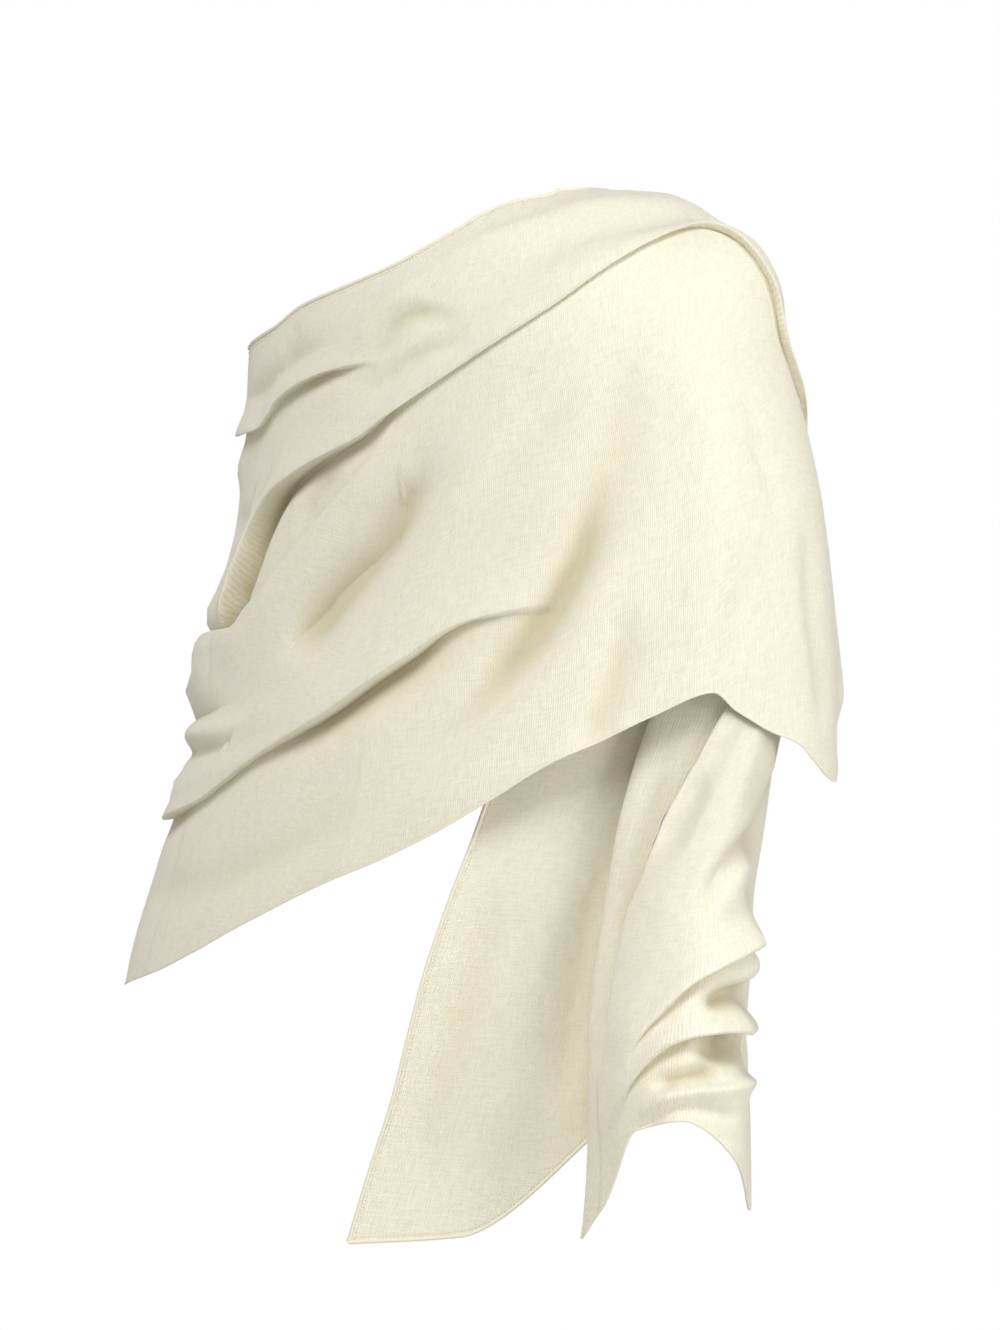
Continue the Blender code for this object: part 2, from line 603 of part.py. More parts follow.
def build():
    for old in list(bpy.data.objects):
        bpy.data.objects.remove(old, do_unlink=True)
    seam_turn = math.degrees(SEAM_GAP / STEP_MM / TURN_RADIUS)
    add_stretch("shoulder_fall", wound_grid(END_TURN, SHOULDER_SEAM_TURN - seam_turn, FALL_COLUMNS), True)
    add_stretch("front_drape",
                wound_grid(SHOULDER_SEAM_TURN, RIGHT_FRONT_SEAM_TURN - seam_turn, FRONT_COLUMNS), True)
    add_stretch("right_arm_wrap",
                wound_grid(RIGHT_FRONT_SEAM_TURN, RIGHT_BACK_SEAM_TURN - seam_turn, RIGHT_ARM_COLUMNS), True)
    back = wound_grid(RIGHT_BACK_SEAM_TURN, BACK_END_TURN, BACK_COLUMNS, BACK_ROWS)
    level_way = (back[-3] - back[-2]) * (1.0, 0.0, 1.0)
    back[-2] += unit_vectors(level_way) * BACK_END_GAP
    add_stretch("back_drape", back, True)
    add_stretch("left_arm_wrap", line_grid(SLEEVE_REACH, SLEEVE_COLUMNS, SLEEVE_ROWS))
    add_stretch("front_tail", line_grid(TAIL_REACH, TAIL_COLUMNS, TAIL_ROWS, TAIL_SHORT))


build()
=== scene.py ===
"""Looks of a cashmere shawl that is worn wound round the shoulders.

Laid out as a Blender add-on and run as a script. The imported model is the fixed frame:
each piece of cloth here is a fine shell that stands for one or two of its nodes.
"""

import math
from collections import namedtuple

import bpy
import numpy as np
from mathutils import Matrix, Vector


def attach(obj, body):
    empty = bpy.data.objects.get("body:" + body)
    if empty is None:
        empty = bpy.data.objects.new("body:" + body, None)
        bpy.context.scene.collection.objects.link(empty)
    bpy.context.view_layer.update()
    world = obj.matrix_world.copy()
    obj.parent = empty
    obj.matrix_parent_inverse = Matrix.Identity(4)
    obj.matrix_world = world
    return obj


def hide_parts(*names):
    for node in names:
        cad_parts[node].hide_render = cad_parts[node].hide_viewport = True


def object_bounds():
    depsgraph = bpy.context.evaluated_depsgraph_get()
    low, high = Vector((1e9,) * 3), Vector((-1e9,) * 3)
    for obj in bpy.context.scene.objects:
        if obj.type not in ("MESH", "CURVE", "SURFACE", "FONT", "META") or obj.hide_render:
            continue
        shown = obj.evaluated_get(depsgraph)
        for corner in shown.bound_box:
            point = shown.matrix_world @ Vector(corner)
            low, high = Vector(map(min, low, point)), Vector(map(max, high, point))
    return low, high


bl_info = {
    "name": "Cashmere Shawl",
    "version": (1, 0, 0),
    "blender": (4, 5, 0),
    "location": "View3D > Sidebar > Shawl",
    "description": "Fine cloth, hems, stitches and stage for a wound cashmere shawl",
    "category": "Object",
}

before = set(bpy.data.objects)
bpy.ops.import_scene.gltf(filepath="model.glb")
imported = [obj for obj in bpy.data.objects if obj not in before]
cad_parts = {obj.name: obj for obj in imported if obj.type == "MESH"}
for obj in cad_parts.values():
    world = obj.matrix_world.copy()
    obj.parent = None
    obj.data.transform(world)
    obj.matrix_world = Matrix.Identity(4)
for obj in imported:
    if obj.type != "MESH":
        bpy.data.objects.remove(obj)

CAD_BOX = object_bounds()
BODY = "root"

STEP_MM = 0.001

# The tables below are in millimetres from the shoulder point, laid out along one line of sight:
# "across" runs to the right of a viewer who stands VIEW_TURN round to the wearer's left,
# "height" runs up, and "near" runs toward that viewer from the middle of the body.
VIEW_TURN = math.radians(35.0)
SHOULDER_NEAR = 80.0

# Turn about the body: 0 is the outline over the left arm, 90 faces the viewer,
# 180 is the outline over the right arm and 270 is the back.
TURN_RADIUS = 190.0

Ring = namedtuple("Ring", "height left right front back skew")
RINGS = (
    Ring(17, -173, -48, 58, 60, 0),
    Ring(15, -182, -15, 68, 70, 20),
    Ring(7, -195, 5, 85, 85, 38),
    Ring(-3, -214, 19, 98, 98, 50),
    Ring(-12, -230, 36, 108, 105, 58),
    Ring(-27, -248, 48, 120, 115, 66),
    Ring(-49, -260, 56, 130, 123, 70),
    Ring(-76, -265, 58, 137, 130, 72),
    Ring(-115, -267, 67, 142, 135, 72),
    Ring(-177, -272, 80, 146, 140, 70),
    Ring(-229, -284, 85, 148, 143, 68),
    Ring(-289, -296, 88, 150, 147, 66),
    Ring(-336, -306, 88, 151, 149, 66),
    Ring(-366, -314, 88, 152, 150, 66),
    Ring(-461, -340, 85, 154, 150, 64),
    Ring(-560, -350, 80, 154, 150, 62),
)

# Upper and lower edge of the wound cloth at stations round the body
Edge = namedtuple("Edge", "turn top bottom")
EDGES = (
    Edge(-64, 6, -62),
    Edge(-45, 13, -150),
    Edge(-25, 16, -241),
    Edge(-10, 17, -304),
    Edge(0, 17, -328),
    Edge(8, 17, -337),
    Edge(15, 17, -334),
    Edge(22, 17, -325),
    Edge(29, 16.9, -314),
    Edge(38, 16.7, -307),
    Edge(47, 16.4, -295),
    Edge(53, 16.1, -284),
    Edge(65, 15.5, -298),
    Edge(74, 15, -312),
    Edge(83, 12, -326),
    Edge(93, 9, -349),
    Edge(101, 4, -367),
    Edge(110, -11, -384),
    Edge(119, -28, -398),
    Edge(133, -43, -421),
    Edge(145, -53, -440),
    Edge(155, -65, -451),
    Edge(168, -72, -458),
    Edge(180, -76, -461),
    Edge(200, -77, -440),
    Edge(230, -70, -398),
    Edge(255, -64, -356),
    Edge(270, -62, -336),
    Edge(282, -68, -350),
    Edge(300, -96, -405),
    Edge(320, -160, -474),
    Edge(334, -211, -512),
)

# Where one stretch of the wound cloth ends and the next begins, in degrees of turn
END_TURN = -64.0
SHOULDER_SEAM_TURN = -14.0
RIGHT_FRONT_SEAM_TURN = 144.0
RIGHT_BACK_SEAM_TURN = 205.0
BACK_END_TURN = 334.0
# The back passes inside the thrown end, and gathers to the left arm past its own turn
UNDER_START_TURN = 262.0
UNDER_BLEND = 30.0
UNDER_INSET = 14.0
GATHER_TURN = 272.0

# A fold with a crisp lip: the cloth swells to a crown, turns under its edge and comes out again below.
# Stations are (across, height) from the right end of the lip to the left, and it runs on over the right
# and the left outline through stations of (turn, height). side: 1 where the edge hangs down, -1 where it
# faces up. sizes: a row for each place along the fold, as a share of its length.
# lift: height of the crown; hang: how far the edge hangs over; crown: width of the swell;
# tuck: cloth taken by the turn; groove: depth of the hollow beyond the edge; hollow: width of that hollow.
Lip = namedtuple("Lip", "name side past_right stations past_left sizes")
LipSize = namedtuple("LipSize", "place lift hang crown tuck groove hollow")
LIPS = (
    Lip("upper_roll", 1, (),
        ((-186, -84), (-204, -89), (-221, -94), (-234, -100), (-244, -108), (-250, -117), (-257, -125)),
        ((178, -128), (190, -125), (203, -117)), (
            (0, 0, 0, 8, 7, 0, 8),
            (0.1, 2, 0.5, 8, 7, 3, 8),
            (0.22, 4, 1.5, 8, 7, 6, 8),
            (0.32, 5, 2.5, 9, 6, 4, 9),
            (0.44, 5, 3, 9, 5, 1, 10),
            (0.62, 6, 2.5, 12, 5, 1, 8),
            (0.8, 5, 2, 12, 5, 1, 8),
            (1, 0, 0, 12, 6, 0, 10),
        )),
    Lip("band_roll", 1, ((-10, -138), (1, -108)),
        ((54, -76), (47, -44), (35, -24), (20, -12), (2, -8), (-21, -16), (-51, -33), (-85, -57),
         (-120, -79), (-152, -100), (-194, -128), (-231, -151), (-247, -165), (-258, -186), (-269, -215),
         (-279, -240)),
        ((182, -247), (192, -240), (203, -222)), (
            (0, 0, 0, 12, 4, 0, 10),
            (0.08, 5, 3.5, 13, 3, 1, 10),
            (0.2, 6, 4.5, 15, 3, 1, 12),
            (0.32, 4, 3, 17, 3, 1, 12),
            (0.44, 3, 2.5, 18, 3, 0, 12),
            (0.56, 3, 2.5, 16, 3, 1, 10),
            (0.63, 5, 2.5, 15, 4, 6, 8),
            (0.71, 8, 3, 14, 5, 10, 9),
            (0.8, 10, 4, 15, 5, 14, 14),
            (0.88, 11, 5, 20, 5, 9, 12),
            (0.95, 6, 3, 20, 5, 3, 12),
            (1, 0, 0, 18, 5, 0, 12),
        )),
    Lip("chest_roll", -1, (),
        ((-175, -127), (-193, -153), (-213, -178), (-229, -199), (-245, -221), (-260, -240), (-273, -253)),
        ((182, -262), (194, -266), (206, -270)), (
            (0, 0, 0, 22, 5, 0, 9),
            (0.14, 5, 1, 21, 5, 1, 9),
            (0.3, 8, 2.5, 20, 4, 3, 8),
            (0.5, 10, 4, 20, 4, 5, 8),
            (0.66, 12, 5, 22, 5, 6, 9),
            (0.78, 11, 4, 22, 5, 4, 9),
            (0.9, 5, 1, 20, 5, 1, 9),
            (1, 0, 0, 18, 5, 0, 9),
        )),
    Lip("waist_roll", 1, (),
        ((-80, -229), (-111, -236), (-142, -246), (-166, -262), (-189, -277), (-212, -294), (-231, -306),
         (-259, -324), (-281, -341), (-297, -352)),
        ((179, -361), (190, -358), (203, -350)), (
            (0, 0, 0, 18, 9, 0, 16),
            (0.12, 3, 0, 20, 9, 3, 16),
            (0.26, 6, 1.5, 22, 7, 11, 14),
            (0.38, 7, 2, 22, 6, 9, 12),
            (0.52, 4, 1.5, 18, 6, 2, 10),
            (0.64, 4, 1.5, 16, 6, 2, 10),
            (0.74, 6, 2.5, 14, 6, 5, 9),
            (0.86, 4, 2, 12, 7, 1, 9),
            (1, 0, 0, 12, 6, 0, 9),
        )),
)

# Soft folds: a rounded ridge where lift is positive, a rounded hollow where it is negative.
# Stations are (across, height), then (turn, height) past the left outline. up and down: widths of the
# fold's two sides. fade_start and fade_end: shares of its length over which its two ends die out.
Soft = namedtuple("Soft", "name stations lift up down fade_start fade_end past_left", defaults=((),))
SOFT_FOLDS = (
    # The band over the shoulder
    Soft("band_ridge_upper", ((12, 4), (-30, 8), (-68, 3), (-120, -14), (-173, -46), (-205, -62)), 2.5, 9,
        11, 0.3, 0.3),
    Soft("band_hollow", ((28, -6), (11, 1), (-51, -11), (-103, -37), (-150, -61), (-172, -72)), -3, 12, 9,
        0.25, 0.3),
    Soft("band_hollow_low", ((-90, -42), (-125, -62), (-157, -82), (-178, -97), (-206, -116)), -2.5, 7, 8,
        0.3, 0.3),
    Soft("band_crease", ((-128, -66), (-146, -61), (-163, -59), (-175, -65), (-184, -76), (-194, -86),
        (-206, -91)), -5, 5, 8, 0.45, 0.45),
    Soft("band_swell", ((-150, -46), (-170, -48), (-186, -60), (-197, -74), (-212, -82)), 3, 8, 5, 0.4,
        0.4),
    Soft("band_fan", ((-120, -78), (-140, -76), (-158, -80), (-172, -90), (-184, -104)), -2, 5, 8, 0.4,
        0.4),
    Soft("band_left_hollow", ((-205, -72), (-221, -77), (-236, -85), (-250, -96), (-262, -108)), -4, 9, 5,
        0.35, 0.35, ((180, -112),)),
    Soft("collar_ripple", ((-232, -58), (-238, -72), (-246, -88)), -1.5, 8, 8, 0.4, 0.4),
    Soft("under_flap", ((-243, -140), (-252, -156), (-262, -176)), -3, 6, 8, 0.3, 0.3, ((178, -184),)),
    Soft("arm_wave_upper", ((-262, -140),), 3, 8, 8, 0.3, 0.3, ((176, -150), (190, -152), (204, -150))),
    # The chest
    Soft("chest_hollow", ((-140, -134), (-165, -160), (-184, -186), (-204, -210), (-222, -232),
        (-236, -252), (-244, -272)), -13, 7, 19, 0.45, 0.25),
    Soft("wedge_hollow", ((-206, -150), (-218, -160), (-230, -176), (-240, -192)), -4, 5, 5, 0.4, 0.4),
    Soft("chest_sweep", ((-96, -100), (-130, -150), (-160, -196), (-185, -236)), 2.5, 16, 16, 0.4, 0.4),
    Soft("loop_notch", ((-256, -240), (-268, -244)), -14, 9, 7, 0.4, 0.35, ((181, -248), (190, -249),
        (198, -248))),
    Soft("small_loop", ((-276, -272), (-286, -286)), 7, 10, 6, 0.3, 0.4, ((181, -292), (194, -290))),
    Soft("small_loop_pocket", ((-268, -280), (-279, -290), (-290, -296)), -5, 4, 5, 0.45, 0.35,
        ((186, -298), (198, -295))),
    Soft("elbow_ridge", ((-222, -284), (-236, -288), (-251, -296), (-271, -305), (-292, -309)), 4, 7, 7,
        0.5, 0.35, ((186, -311), (200, -306))),
    Soft("forearm_tuck", ((-228, -300), (-246, -306), (-264, -313), (-283, -318), (-298, -320)), -4, 5, 5,
        0.5, 0.35, ((186, -321), (200, -317))),
    Soft("forearm_ridge", ((-230, -309), (-251, -317), (-269, -325), (-288, -333), (-304, -340)), 4, 7, 7,
        0.5, 0.35, ((188, -340), (202, -336))),
    # Below the left arm and down the front
    Soft("shoulder_hollow", ((-24, -51), (-42, -122), (-54, -182), (-80, -237), (-101, -266), (-144, -298)),
        -4, 20, 22, 0.3, 0.3),
    Soft("shoulder_ridge", ((4, -40), (10, -120), (14, -200), (9, -286)), 6, 30, 30, 0.35, 0),
    Soft("waist_sweep_hollow", ((-52, -150), (-60, -176), (-70, -208), (-84, -235), (-97, -256),
        (-113, -277), (-130, -297), (-152, -317), (-176, -334)), -7, 9, 11, 0.3, 0.45),
    Soft("waist_sweep_ridge", ((-42, -186), (-50, -212), (-67, -246), (-92, -286), (-128, -321),
        (-166, -352), (-200, -372)), 4, 10, 18, 0.35, 0.4),
    Soft("hip_hollow", ((-36, -225), (-45, -269), (-56, -302), (-70, -330)), -5, 10, 13, 0.4, 0.3),
    Soft("sleeve_crease", ((30, -115), (42, -150), (54, -190)), -2.5, 7, 10, 0.4, 0.4),
    Soft("tip_sweep", ((66, -170), (72, -240), (80, -310)), -3, 12, 16, 0.4, 0.2),
    Soft("chest_ripple", ((-60, -96), (-84, -126), (-112, -150), (-146, -172)), -2, 9, 12, 0.4, 0.4),
    Soft("side_hollow", ((30, -200), (24, -240), (20, -280), (22, -310)), -4, 10, 14, 0.4, 0.1),
    Soft("lower_sweep", ((-96, -318), (-150, -350), (-205, -384), (-262, -414)), 3, 14, 12, 0.35, 0.35),
    Soft("lower_hollow", ((-180, -345), (-226, -372), (-270, -392), (-306, -402)), -3, 12, 14, 0.35, 0.35,
        ((184, -404),)),
)

# Soft folds on the hidden sides, with stations as (turn, height)
BACK_FOLDS = (
    Soft("back_roll_upper", (), 9, 14, 20, 0.15, 0.3, ((186, -150), (210, -162), (240, -185), (270, -215),
        (298, -255))),
    Soft("back_hollow_upper", (), -7, 18, 12, 0.2, 0.3, ((188, -205), (210, -212), (240, -232), (268, -262),
        (296, -305))),
    Soft("back_roll_middle", (), 8, 12, 20, 0.2, 0.3, ((200, -262), (225, -266), (250, -284), (275, -312),
        (300, -350))),
    Soft("back_crease_high", (), -4, 8, 10, 0.35, 0.35, ((206, -112), (232, -124), (258, -142),
        (280, -170))),
    Soft("back_crease_low", (), -4, 10, 8, 0.35, 0.35, ((216, -312), (240, -318), (262, -334),
        (284, -372))),
    Soft("back_sweep_low", (), 4, 12, 12, 0.3, 0.3, ((204, -380), (220, -372), (240, -362), (256, -352))),
    Soft("gather_ridge_one", (), 4, 8, 9, 0.35, 0.35, ((292, -150), (306, -196), (318, -240), (330, -270))),
    Soft("gather_ridge_two", (), 4, 9, 9, 0.35, 0.35, ((288, -250), (302, -300), (314, -350), (326, -400))),
    Soft("fall_ridge", (), 6, 18, 18, 0.3, 0.1, ((-14, -40), (-16, -120), (-12, -240), (-4, -310))),
    Soft("fall_hollow", (), -3, 14, 16, 0.3, 0.1, ((-32, -40), (-34, -90), (-32, -170), (-24, -240))),
    Soft("fall_ripple", (), 3, 9, 10, 0.3, 0.2, ((-48, -30), (-48, -70), (-44, -120))),
)

# Sections of the left sleeve and the front tail, as (across, near) at each named line.
# The tail's lines are hem, panel and pleat; the sleeve's lines run on from the pleat to the back seam.
Section = namedtuple("Section", "height hem panel pleat strip crease cuff front outer side seam")
SECTIONS = (
    Section(-240, (-93, 126), (-50, 130), (4, 119), (-12, 137), (30, 139), (44, 136), (54, 128), (62, 105),
        (64, 62), (57, 16)),
    Section(-289, (-101, 127), (-60, 130), (0, 119), (-21, 138), (22, 146), (36, 143), (46, 135), (56, 112),
        (60, 66), (55, 18)),
    Section(-325, (-113, 128), (-70, 130), (-8, 119), (-33, 140), (8, 153), (24, 156), (38, 152), (50, 128),
        (53, 84), (51, 22)),
    Section(-366, (-127, 128), (-84, 129), (-20, 118), (-44, 142), (-13, 158), (4, 168), (22, 166), (37,
        140), (39, 98), (45, 30)),
    Section(-408, (-143, 127), (-97, 128), (-30, 117), (-51, 144), (-31, 162), (-12, 176), (12, 177), (30,
        152), (33, 108), (38, 40)),
    Section(-449, (-157, 126), (-107, 127), (-37, 117), (-57, 146), (-42, 165), (-22, 184), (8, 188), (35,
        160), (38, 116), (36, 50)),
    Section(-491, (-168, 125), (-115, 126), (-42, 116), (-61, 148), (-51, 167), (-34, 190), (0, 198), (22,
        170), (27, 126), (33, 66)),
    Section(-527, (-177, 124), (-121, 125), (-46, 116), (-61, 150), (-54, 170), (-34, 196), (-6, 206), (28,
        178), (34, 132), (35, 76)),
    Section(-564, (-189, 123), (-127, 124), (-52, 115), (-62, 151), (-52, 172), (-32, 200), (-4, 210), (26,
        182), (34, 136), (36, 82)),
    Section(-620, (-206, 121), (-140, 122), (-60, 114), (-66, 151), (-56, 172), (-34, 200), (-4, 210), (28,
        182), (36, 138), (38, 84)),
)

# Height of the upper and lower edge at each named line of the sleeve and the tail
Reach = namedtuple("Reach", "line top bottom")
SLEEVE_REACH = (
    Reach("pleat", -255, -538),
    Reach("strip", -255, -606),
    Reach("crease", -255, -588),
    Reach("cuff", -250, -541),
    Reach("front", -245, -535),
    Reach("outer", -240, -560),
    Reach("side", -225, -590),
    Reach("seam", -213, -512),
)
TAIL_REACH = (
    Reach("hem", -255, -610),
    Reach("panel", -255, -606),
    Reach("pleat", -255, -538),
)

# Folds of the sleeve, stations as (across, height). Past the right outline, across runs on round the arm.
SLEEVE_LIPS = (
    Lip("long_crease", -1, (),
        ((24, -286), (21, -295), (7, -324), (-11, -357), (-26, -398), (-34, -416), (-41, -448),
         (-49, -492), (-57, -524)),
        (), (
            (0, 0, 0, 10, 4, 0, 7),
            (0.1, 5, 4, 12, 3, 3, 7),
            (0.32, 6, 5.5, 12, 3, 4, 8),
            (0.52, 6, 5, 11, 3, 4, 7),
            (0.74, 5, 2.5, 10, 4, 4, 6),
            (1, 0, 0, 9, 4, 0, 6),
        )),
    Lip("forearm_wrap", 1, (),
        ((76, -408), (62, -413), (50, -421), (38, -431), (26, -438), (14, -445), (-1, -455), (-17, -470),
         (-32, -487), (-41, -506)),
        (), (
            (0, 0, 0, 12, 5, 0, 7),
            (0.14, 8, 2.5, 14, 5, 2, 7),
            (0.3, 8, 4, 12, 4, 4, 7),
            (0.48, 5, 3, 10, 4, 5, 7),
            (0.72, 4, 2, 9, 4, 3, 7),
            (1, 0, 0, 9, 4, 0, 7),
        )),
    Lip("wrist_wrap", 1, (),
        ((68, -470), (54, -476), (40, -480), (28, -481), (17, -481), (4, -484), (-10, -490), (-25, -500),
         (-39, -516), (-52, -546)),
        (), (
            (0, 0, 0, 8, 6, 0, 6),
            (0.14, 10, 1.5, 9, 7, 4, 6),
            (0.28, 11, 2.5, 9, 6, 6, 7),
            (0.42, 7, 4, 8, 4, 6, 7),
            (0.6, 5, 2.5, 8, 4, 4, 7),
            (0.8, 3, 1, 9, 4, 2, 7),
            (1, 0, 0, 9, 4, 0, 7),
        )),
)
SLEEVE_FOLDS = (
    Soft("strip_hollow", ((-8, -296), (-19, -336), (-32, -380), (-43, -422), (-50, -465)), -3, 6, 6, 0.3,
        0.3),
    Soft("sleeve_fan", ((12, -330), (3, -346), (-9, -368), (-20, -386)), -5, 4, 6, 0.3, 0.4),
    Soft("upper_arm_fold", ((56, -290), (44, -330), (30, -362)), -3, 8, 10, 0.3, 0.4),
    Soft("elbow_sweep", ((52, -362), (33, -374), (14, -395), (2, -424)), -5, 6, 9, 0.2, 0.4),
    Soft("elbow_sweep_ridge", ((52, -376), (34, -388), (20, -404), (10, -424)), 4, 6, 9, 0.2, 0.4),
    Soft("elbow_dip", ((70, -388), (56, -394), (42, -401), (28, -410)), -7, 10, 7, 0.3, 0.4),
    Soft("side_dip", ((58, -338), (52, -360), (49, -382), (50, -404)), -6, 15, 15, 0.4, 0.35),
    Soft("forearm_swell", ((72, -440), (56, -443), (40, -447), (26, -452)), 4, 7, 8, 0.3, 0.4),
    Soft("wrist_pocket", ((70, -458), (54, -461), (38, -464), (24, -466), (12, -470), (2, -475)), -15, 7, 6,
        0.2, 0.35),
    Soft("wrist_hollow", ((70, -490), (54, -492), (38, -494), (24, -496), (10, -497), (-3, -501)), -13, 6,
        6, 0.2, 0.35),
    Soft("cuff_hollow", ((20, -505), (8, -508), (-10, -512), (-26, -518)), -8, 4, 6, 0.2, 0.3),
    Soft("cuff_ridge", ((60, -512), (42, -515), (22, -518), (2, -518), (-18, -523), (-34, -538)), 6, 5, 5,
        0.2, 0.3),
    Soft("cuff_arch", ((36, -532), (20, -530), (-1, -526), (-20, -533), (-39, -552)), -3.5, 3, 4, 0.2, 0.3),
    Soft("side_fold", ((70, -300), (66, -360), (62, -400)), -4, 9, 9, 0.3, 0.3),
)
TAIL_FOLDS = (
    Soft("tail_near_fold", ((-30, -340), (-52, -400), (-66, -460), (-76, -540)), -4, 9, 9, 0.3, 0.2),
    Soft("tail_hollow", ((-62, -370), (-86, -430), (-102, -500), (-112, -570)), 3, 14, 14, 0.3, 0.2),
    Soft("tail_hem_wave", ((-104, -380), (-128, -450), (-146, -520), (-160, -590)), -3, 12, 12, 0.3, 0.2),
)
# The folds die out toward these lines, over this share of the way to the next line
HELD_LINES = ("pleat", "seam")
HELD_BLEND = 0.7

# Depth of a hollow at which its painted shade is deepest, in millimetres
DEEPEST = 9.0

# Grid steps of the fine cloth
FRONT_COLUMNS = 240
RIGHT_ARM_COLUMNS = 93
BACK_COLUMNS = 196
FALL_COLUMNS = 76
SLEEVE_COLUMNS = 190
SLEEVE_ROWS = 230
TAIL_COLUMNS = 70
TAIL_ROWS = 150
# Rows near each lip, in widths of its crown, of its tuck and of its hollow
CROWN_ROWS = (-1.8, -1.2, -0.75, -0.4, -0.15)
TUCK_ROWS = (0.12, 0.25, 0.4, 0.55, 0.7, 0.85, 1.0)
HOLLOW_ROWS = (0.35, 0.8, 1.4)
# Rows between one lip's own rows and the next: upper edge, four lips, lower edge
ROWS_BETWEEN = (26, 12, 12, 40, 34)
# Least distance between two lips, as a share of the cloth's height
LEAST_LIP_GAP = 0.02
# Steepest run of a lip that its rows allow for, and the most that they may fill between two lips
STEEPEST = 2.5
FULLEST = 0.75
# Share of a lip's overhang that its crown leans out, and the share that the cloth under it makes up
HANG_OVER = 0.6
HANG_UNDER = 0.4
# How far past the ends of its path a fold is looked for, in millimetres
FOLD_MARGIN = 60.0

# What the camera frames: its middle as (across, height) in millimetres, and its height in metres
PICTURE_MIDDLE = (-113.0, -268.0)
PICTURE_HEIGHT = 0.7917
LIGHT_DISTANCE = 3.0
FLOOR_REACH = 30.0

# Scale and detail of each noise, on the weave in metres, and how far the yarns wander
YARN_WANDER = (90.0, 2.0)
YARN_DRIFT = 0.0016
NAP_NOISE = (1400.0, 3.0)
CLOUD_NOISE = (14.0, 3.0)
TWIST_NOISE = (1500.0, 3.0)
SLUB_STRETCHES = ((760.0, 85.0, 1.0), (110.0, 620.0, 1.0))
# Step along a hem's path in metres, and the sides of its roll
PATH_STEP = 0.0012
HEM_SIDES = 8

# Cut of each stretch that shows: width and length of its flat cloth, its flat area and what is sewn to it
Sheet = namedtuple("Sheet", "name flat area trims")
# Stretches of the wound cloth: the turns at their two ends, their columns and the node that they stand for
Stretch = namedtuple("Stretch", "name start end columns node")
STRETCHES = (
    Stretch("front_cloth", SHOULDER_SEAM_TURN, RIGHT_FRONT_SEAM_TURN, FRONT_COLUMNS, "front_drape"),
    Stretch("right_arm_cloth", RIGHT_FRONT_SEAM_TURN, RIGHT_BACK_SEAM_TURN, RIGHT_ARM_COLUMNS,
            "right_arm_wrap"),
    Stretch("back_cloth", RIGHT_BACK_SEAM_TURN, BACK_END_TURN, BACK_COLUMNS, "back_drape"),
    Stretch("thrown_end", END_TURN, SHOULDER_SEAM_TURN, FALL_COLUMNS, "shoulder_fall"),
)
# The same stretches in their order round the body
TOP_ORDER = ("thrown_end", "front_cloth", "right_arm_cloth", "back_cloth")


def monotone_curve(knots, values, at):
    """Smooth curve through a table that never overshoots between its rows."""
    knots = np.asarray(knots, float)
    values = np.asarray(values, float)
    step = np.diff(knots)
    slope = np.diff(values) / step
    tangent = np.zeros_like(values)
    same_sign = slope[:-1] * slope[1:] > 0
    left_weight = 2 * step[1:] + step[:-1]
    right_weight = step[1:] + 2 * step[:-1]
    with np.errstate(divide="ignore", invalid="ignore"):
        mean = (left_weight + right_weight) / (left_weight / slope[:-1] + right_weight / slope[1:])
    tangent[1:-1] = np.where(same_sign, mean, 0.0)
    tangent[0] = slope[0]
    tangent[-1] = slope[-1]
    at = np.clip(np.asarray(at, float), knots[0], knots[-1])
    index = np.clip(np.searchsorted(knots, at, side="right") - 1, 0, len(step) - 1)
    width = step[index]
    part = (at - knots[index]) / width
    rise = values[index] * (1 + 2 * part) * (1 - part) ** 2 + values[index + 1] * part ** 2 * (3 - 2 * part)
    bend = width * (tangent[index] * part * (1 - part) ** 2 - tangent[index + 1] * part ** 2 * (1 - part))
    return rise + bend


def ease(value):
    """Smooth step from 0 to 1."""
    value = np.clip(value, 0.0, 1.0)
    return value * value * (3 - 2 * value)


def ring_column(name):
    return np.array([getattr(ring, name) for ring in RINGS], float)


# Distance down the cloth from the neck, measured along the outline over the left arm
RING_HEIGHTS = ring_column("height")
RING_REACH = np.concatenate(
    ([0.0], np.cumsum(np.hypot(np.diff(RING_HEIGHTS), np.diff(ring_column("right"))))))


def reach_at_height(height):
    """Distance down the cloth at which the rings have this height."""
    return monotone_curve(-RING_HEIGHTS, RING_REACH, -np.asarray(height, float))


def ring_value(name, reach):
    return monotone_curve(RING_REACH, ring_column(name), reach)


def edge_height(name, turn):
    turns = [edge.turn for edge in EDGES]
    return monotone_curve(turns, [getattr(edge, name) for edge in EDGES], turn)


def section_value(line, axis, height):
    heights = [-section.height for section in SECTIONS]
    values = [getattr(section, line)[axis] for section in SECTIONS]
    return monotone_curve(heights, values, -np.asarray(height, float))


